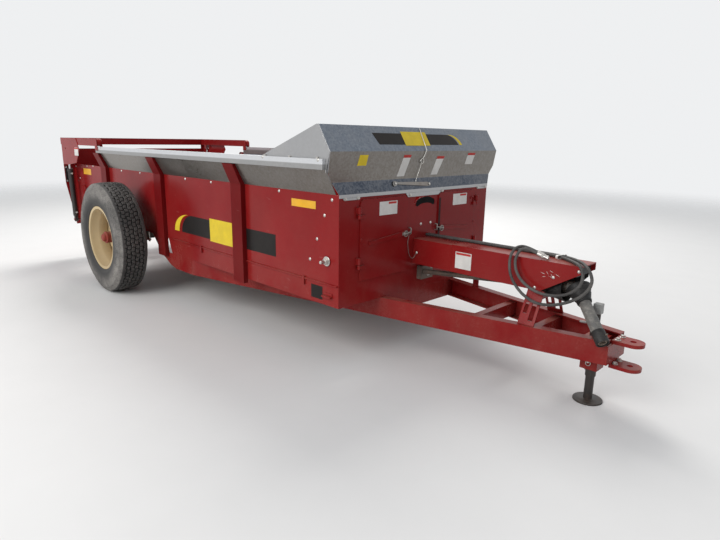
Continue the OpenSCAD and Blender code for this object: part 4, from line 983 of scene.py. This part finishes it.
# Hexagon bolts on both faces of each paddle; paddle i stands at 67.5 i degrees, and opposite
shapes = []
for i in range(8):
    for k in (0, 180):
        a = radians(i * 67.5 + k)
        out, face = sin(a) * X + cos(a) * Z, cos(a) * X - sin(a) * Z
        at = [ROTOR_AT + (i * 1.45 / 7 - 0.725 + dy) * Y + r * out + 0.0062 * face
              for r in (0.125, 0.235) for dy in (-0.032, 0.032)]
        shapes.append(copies(hex_bolt(0.015, 0.008), at, face))
piece("rotor_bolts", shapes, BOLT, "beater_rotor")

# Pins and slat bolts of the apron
xs = np.arange(-0.98, 2.84, 0.0662)
pin = turned([(0.0055, -0.02), (0.0055, 0.02)], steps=8)
piece("apron_pins", [copies(pin, [(x, side * 0.56, 0.6845) for x in xs], Y) for side, _ in SIDES], IRON)
slats = [(-0.895 + 0.3 * i, side * y, 0.6671) for i in range(12) for side, _ in SIDES for y in (0.1, 0.4)]
piece("slat_bolts", [copies(carriage_bolt(0.009, 0.004), slats)], BOLT)

# Clamps that hold the axle
low = AXLE_Z - 0.048
sides("axle_clamp", [block((-0.078, 0.742, low - 0.0125), (0.078, 0.828, low - 0.0004))], RED, bevel=0.001)
legs = [(x, y) for x in (-0.06, 0.06) for y in (0.754, 0.806)]
rods = [rod([(x, y, low - 0.03), (x, y, low + 0.0955)], 0.0075) for x, y in legs]
nuts = copies(hex_nut(0.013, 0.012), [(x, y, low - 0.0125) for x, y in legs], -Z)
sides("axle_bolts", rods + [nuts], BOLT)

# Bolts of the drive case and the hitch, and short scuffs on the cover's cheek
guard = mm((-1530, 905), (-1385, 915), (-910, 680), (-910, 605), (-1135, 455), (-1235, 455), (-1520, 790))
piece("guard_bolts", [copies(hex_bolt(0.013, 0.007), spots(guard, y=0.8682), Y)], BOLT)
hitch = [(4.415, y, z) for y in (-0.033, 0.033) for z in (0.4252, 0.2822)]
piece("hitch_bolts", [copies(hex_bolt(0.019, 0.011), hitch)], BOLT)
marks = mm((3955, 742, 3985, 733), (3990, 753, 4006, 735), (4010, 761, 4036, 752), (4004, 729, 4050, 716),
           (4045, 746, 4076, 734), (3966, 714, 3990, 722), (4020, 742, 4030, 728))
shapes = []
for a, b in marks.reshape(-1, 2, 2):
    across = unit([b[1] - a[1], a[0] - b[0]]) * 0.0011
    shapes.append(patch([a, (a + b) / 2 + across, b, (a + b) / 2 - across], -COVER_Y * Y, X, Z))
piece("cover_scuffs", shapes, WHITE_FILM, slot="red_paint")


# Each node of the frame gets the finish of its own slot; zinc and bare parts have their own, and the stakes get
# a darker copy of the red enamel as painted shade

finish = {f.slot: f for f in (RED, ZINC, BOARDS, TYRE, CREAM, DARK, CHROME, BLACK, HOSE)}
own = {"barrel": BLACK_STEEL, "stakes": RED_STAKE_SHADED, "flare": ZINC_RAIL}
for part in frame["record"]["subparts"]:
    slots = frame["nodes"][part["node"]].data.materials
    slots.clear()
    look = own.get(part["node"].split("_")[0]) or finish[part["material_slot"]]
    slots.append(look.material)


# Stage: a pale floor that fades into the backdrop, a soft sky and two large lamps

def lamp(name, at, towards, size, power, colour):
    """A square area lamp whose light leaves along its own -Z."""
    data = bpy.data.lights.new(name, "AREA")
    data.size, data.energy, data.color = size, power, colour
    back = unit(np.asarray(at) - np.asarray(towards))
    turn_to(new_object(name, data), *basis(back), back, at)


FLOOR_HALF = 40
f = Finish("pale_floor", None, Roughness=0.85, Specular_IOR_Level=0.2)
f.set("Base Color", f.mix(f.noise(3, 4, 0.6), (0.7, 0.698, 0.69), (0.735, 0.732, 0.724)))
away = f.add("VectorMath", {"operation": "LENGTH"}, {0: f.place})
f.set("Alpha", f.part(away.outputs["Value"], 17, 8))
corners = [(a, b, 0) for a, b in square(-FLOOR_HALF, FLOOR_HALF, -FLOOR_HALF, FLOOR_HALF)]
mesh = bpy.data.meshes.new("floor")
mesh.from_pydata(corners, [], [(0, 1, 2, 3)])
mesh.materials.append(f.material)
floor = new_object("floor", mesh)

# One colour lights the scene; the camera, mirrors and glass see another
world = bpy.data.worlds.new("studio")
scene.world = world
world.use_nodes = True
tree = world.node_tree
tree.nodes.clear()
show = node(tree, "Background", Color=(0.86, 0.87, 0.88))
light = node(tree, "Background", Color=(0.92, 0.95, 1), Strength=0.55)
path = node(tree, "LightPath")
seen = path.outputs["Is Camera Ray"]
for kind in ("Is Glossy Ray", "Is Transmission Ray"):
    seen = node(tree, "Math", {"operation": "MAXIMUM"}, {0: seen, 1: path.outputs[kind]}).outputs[0]
mix = node(tree, "MixShader", (), {0: seen, 1: light.outputs[0], 2: show.outputs[0]})
node(tree, "OutputWorld", Surface=mix.outputs[0])

lamp("key", (-4, 4.5, 8), (0, 0, 0.6), 5, 800, (1, 0.98, 0.95))
lamp("fill", (0.5, -11, 7), (0, 0, 0.7), 8, 980, (1, 0.99, 0.97))
scene.view_settings.view_transform = "Standard"
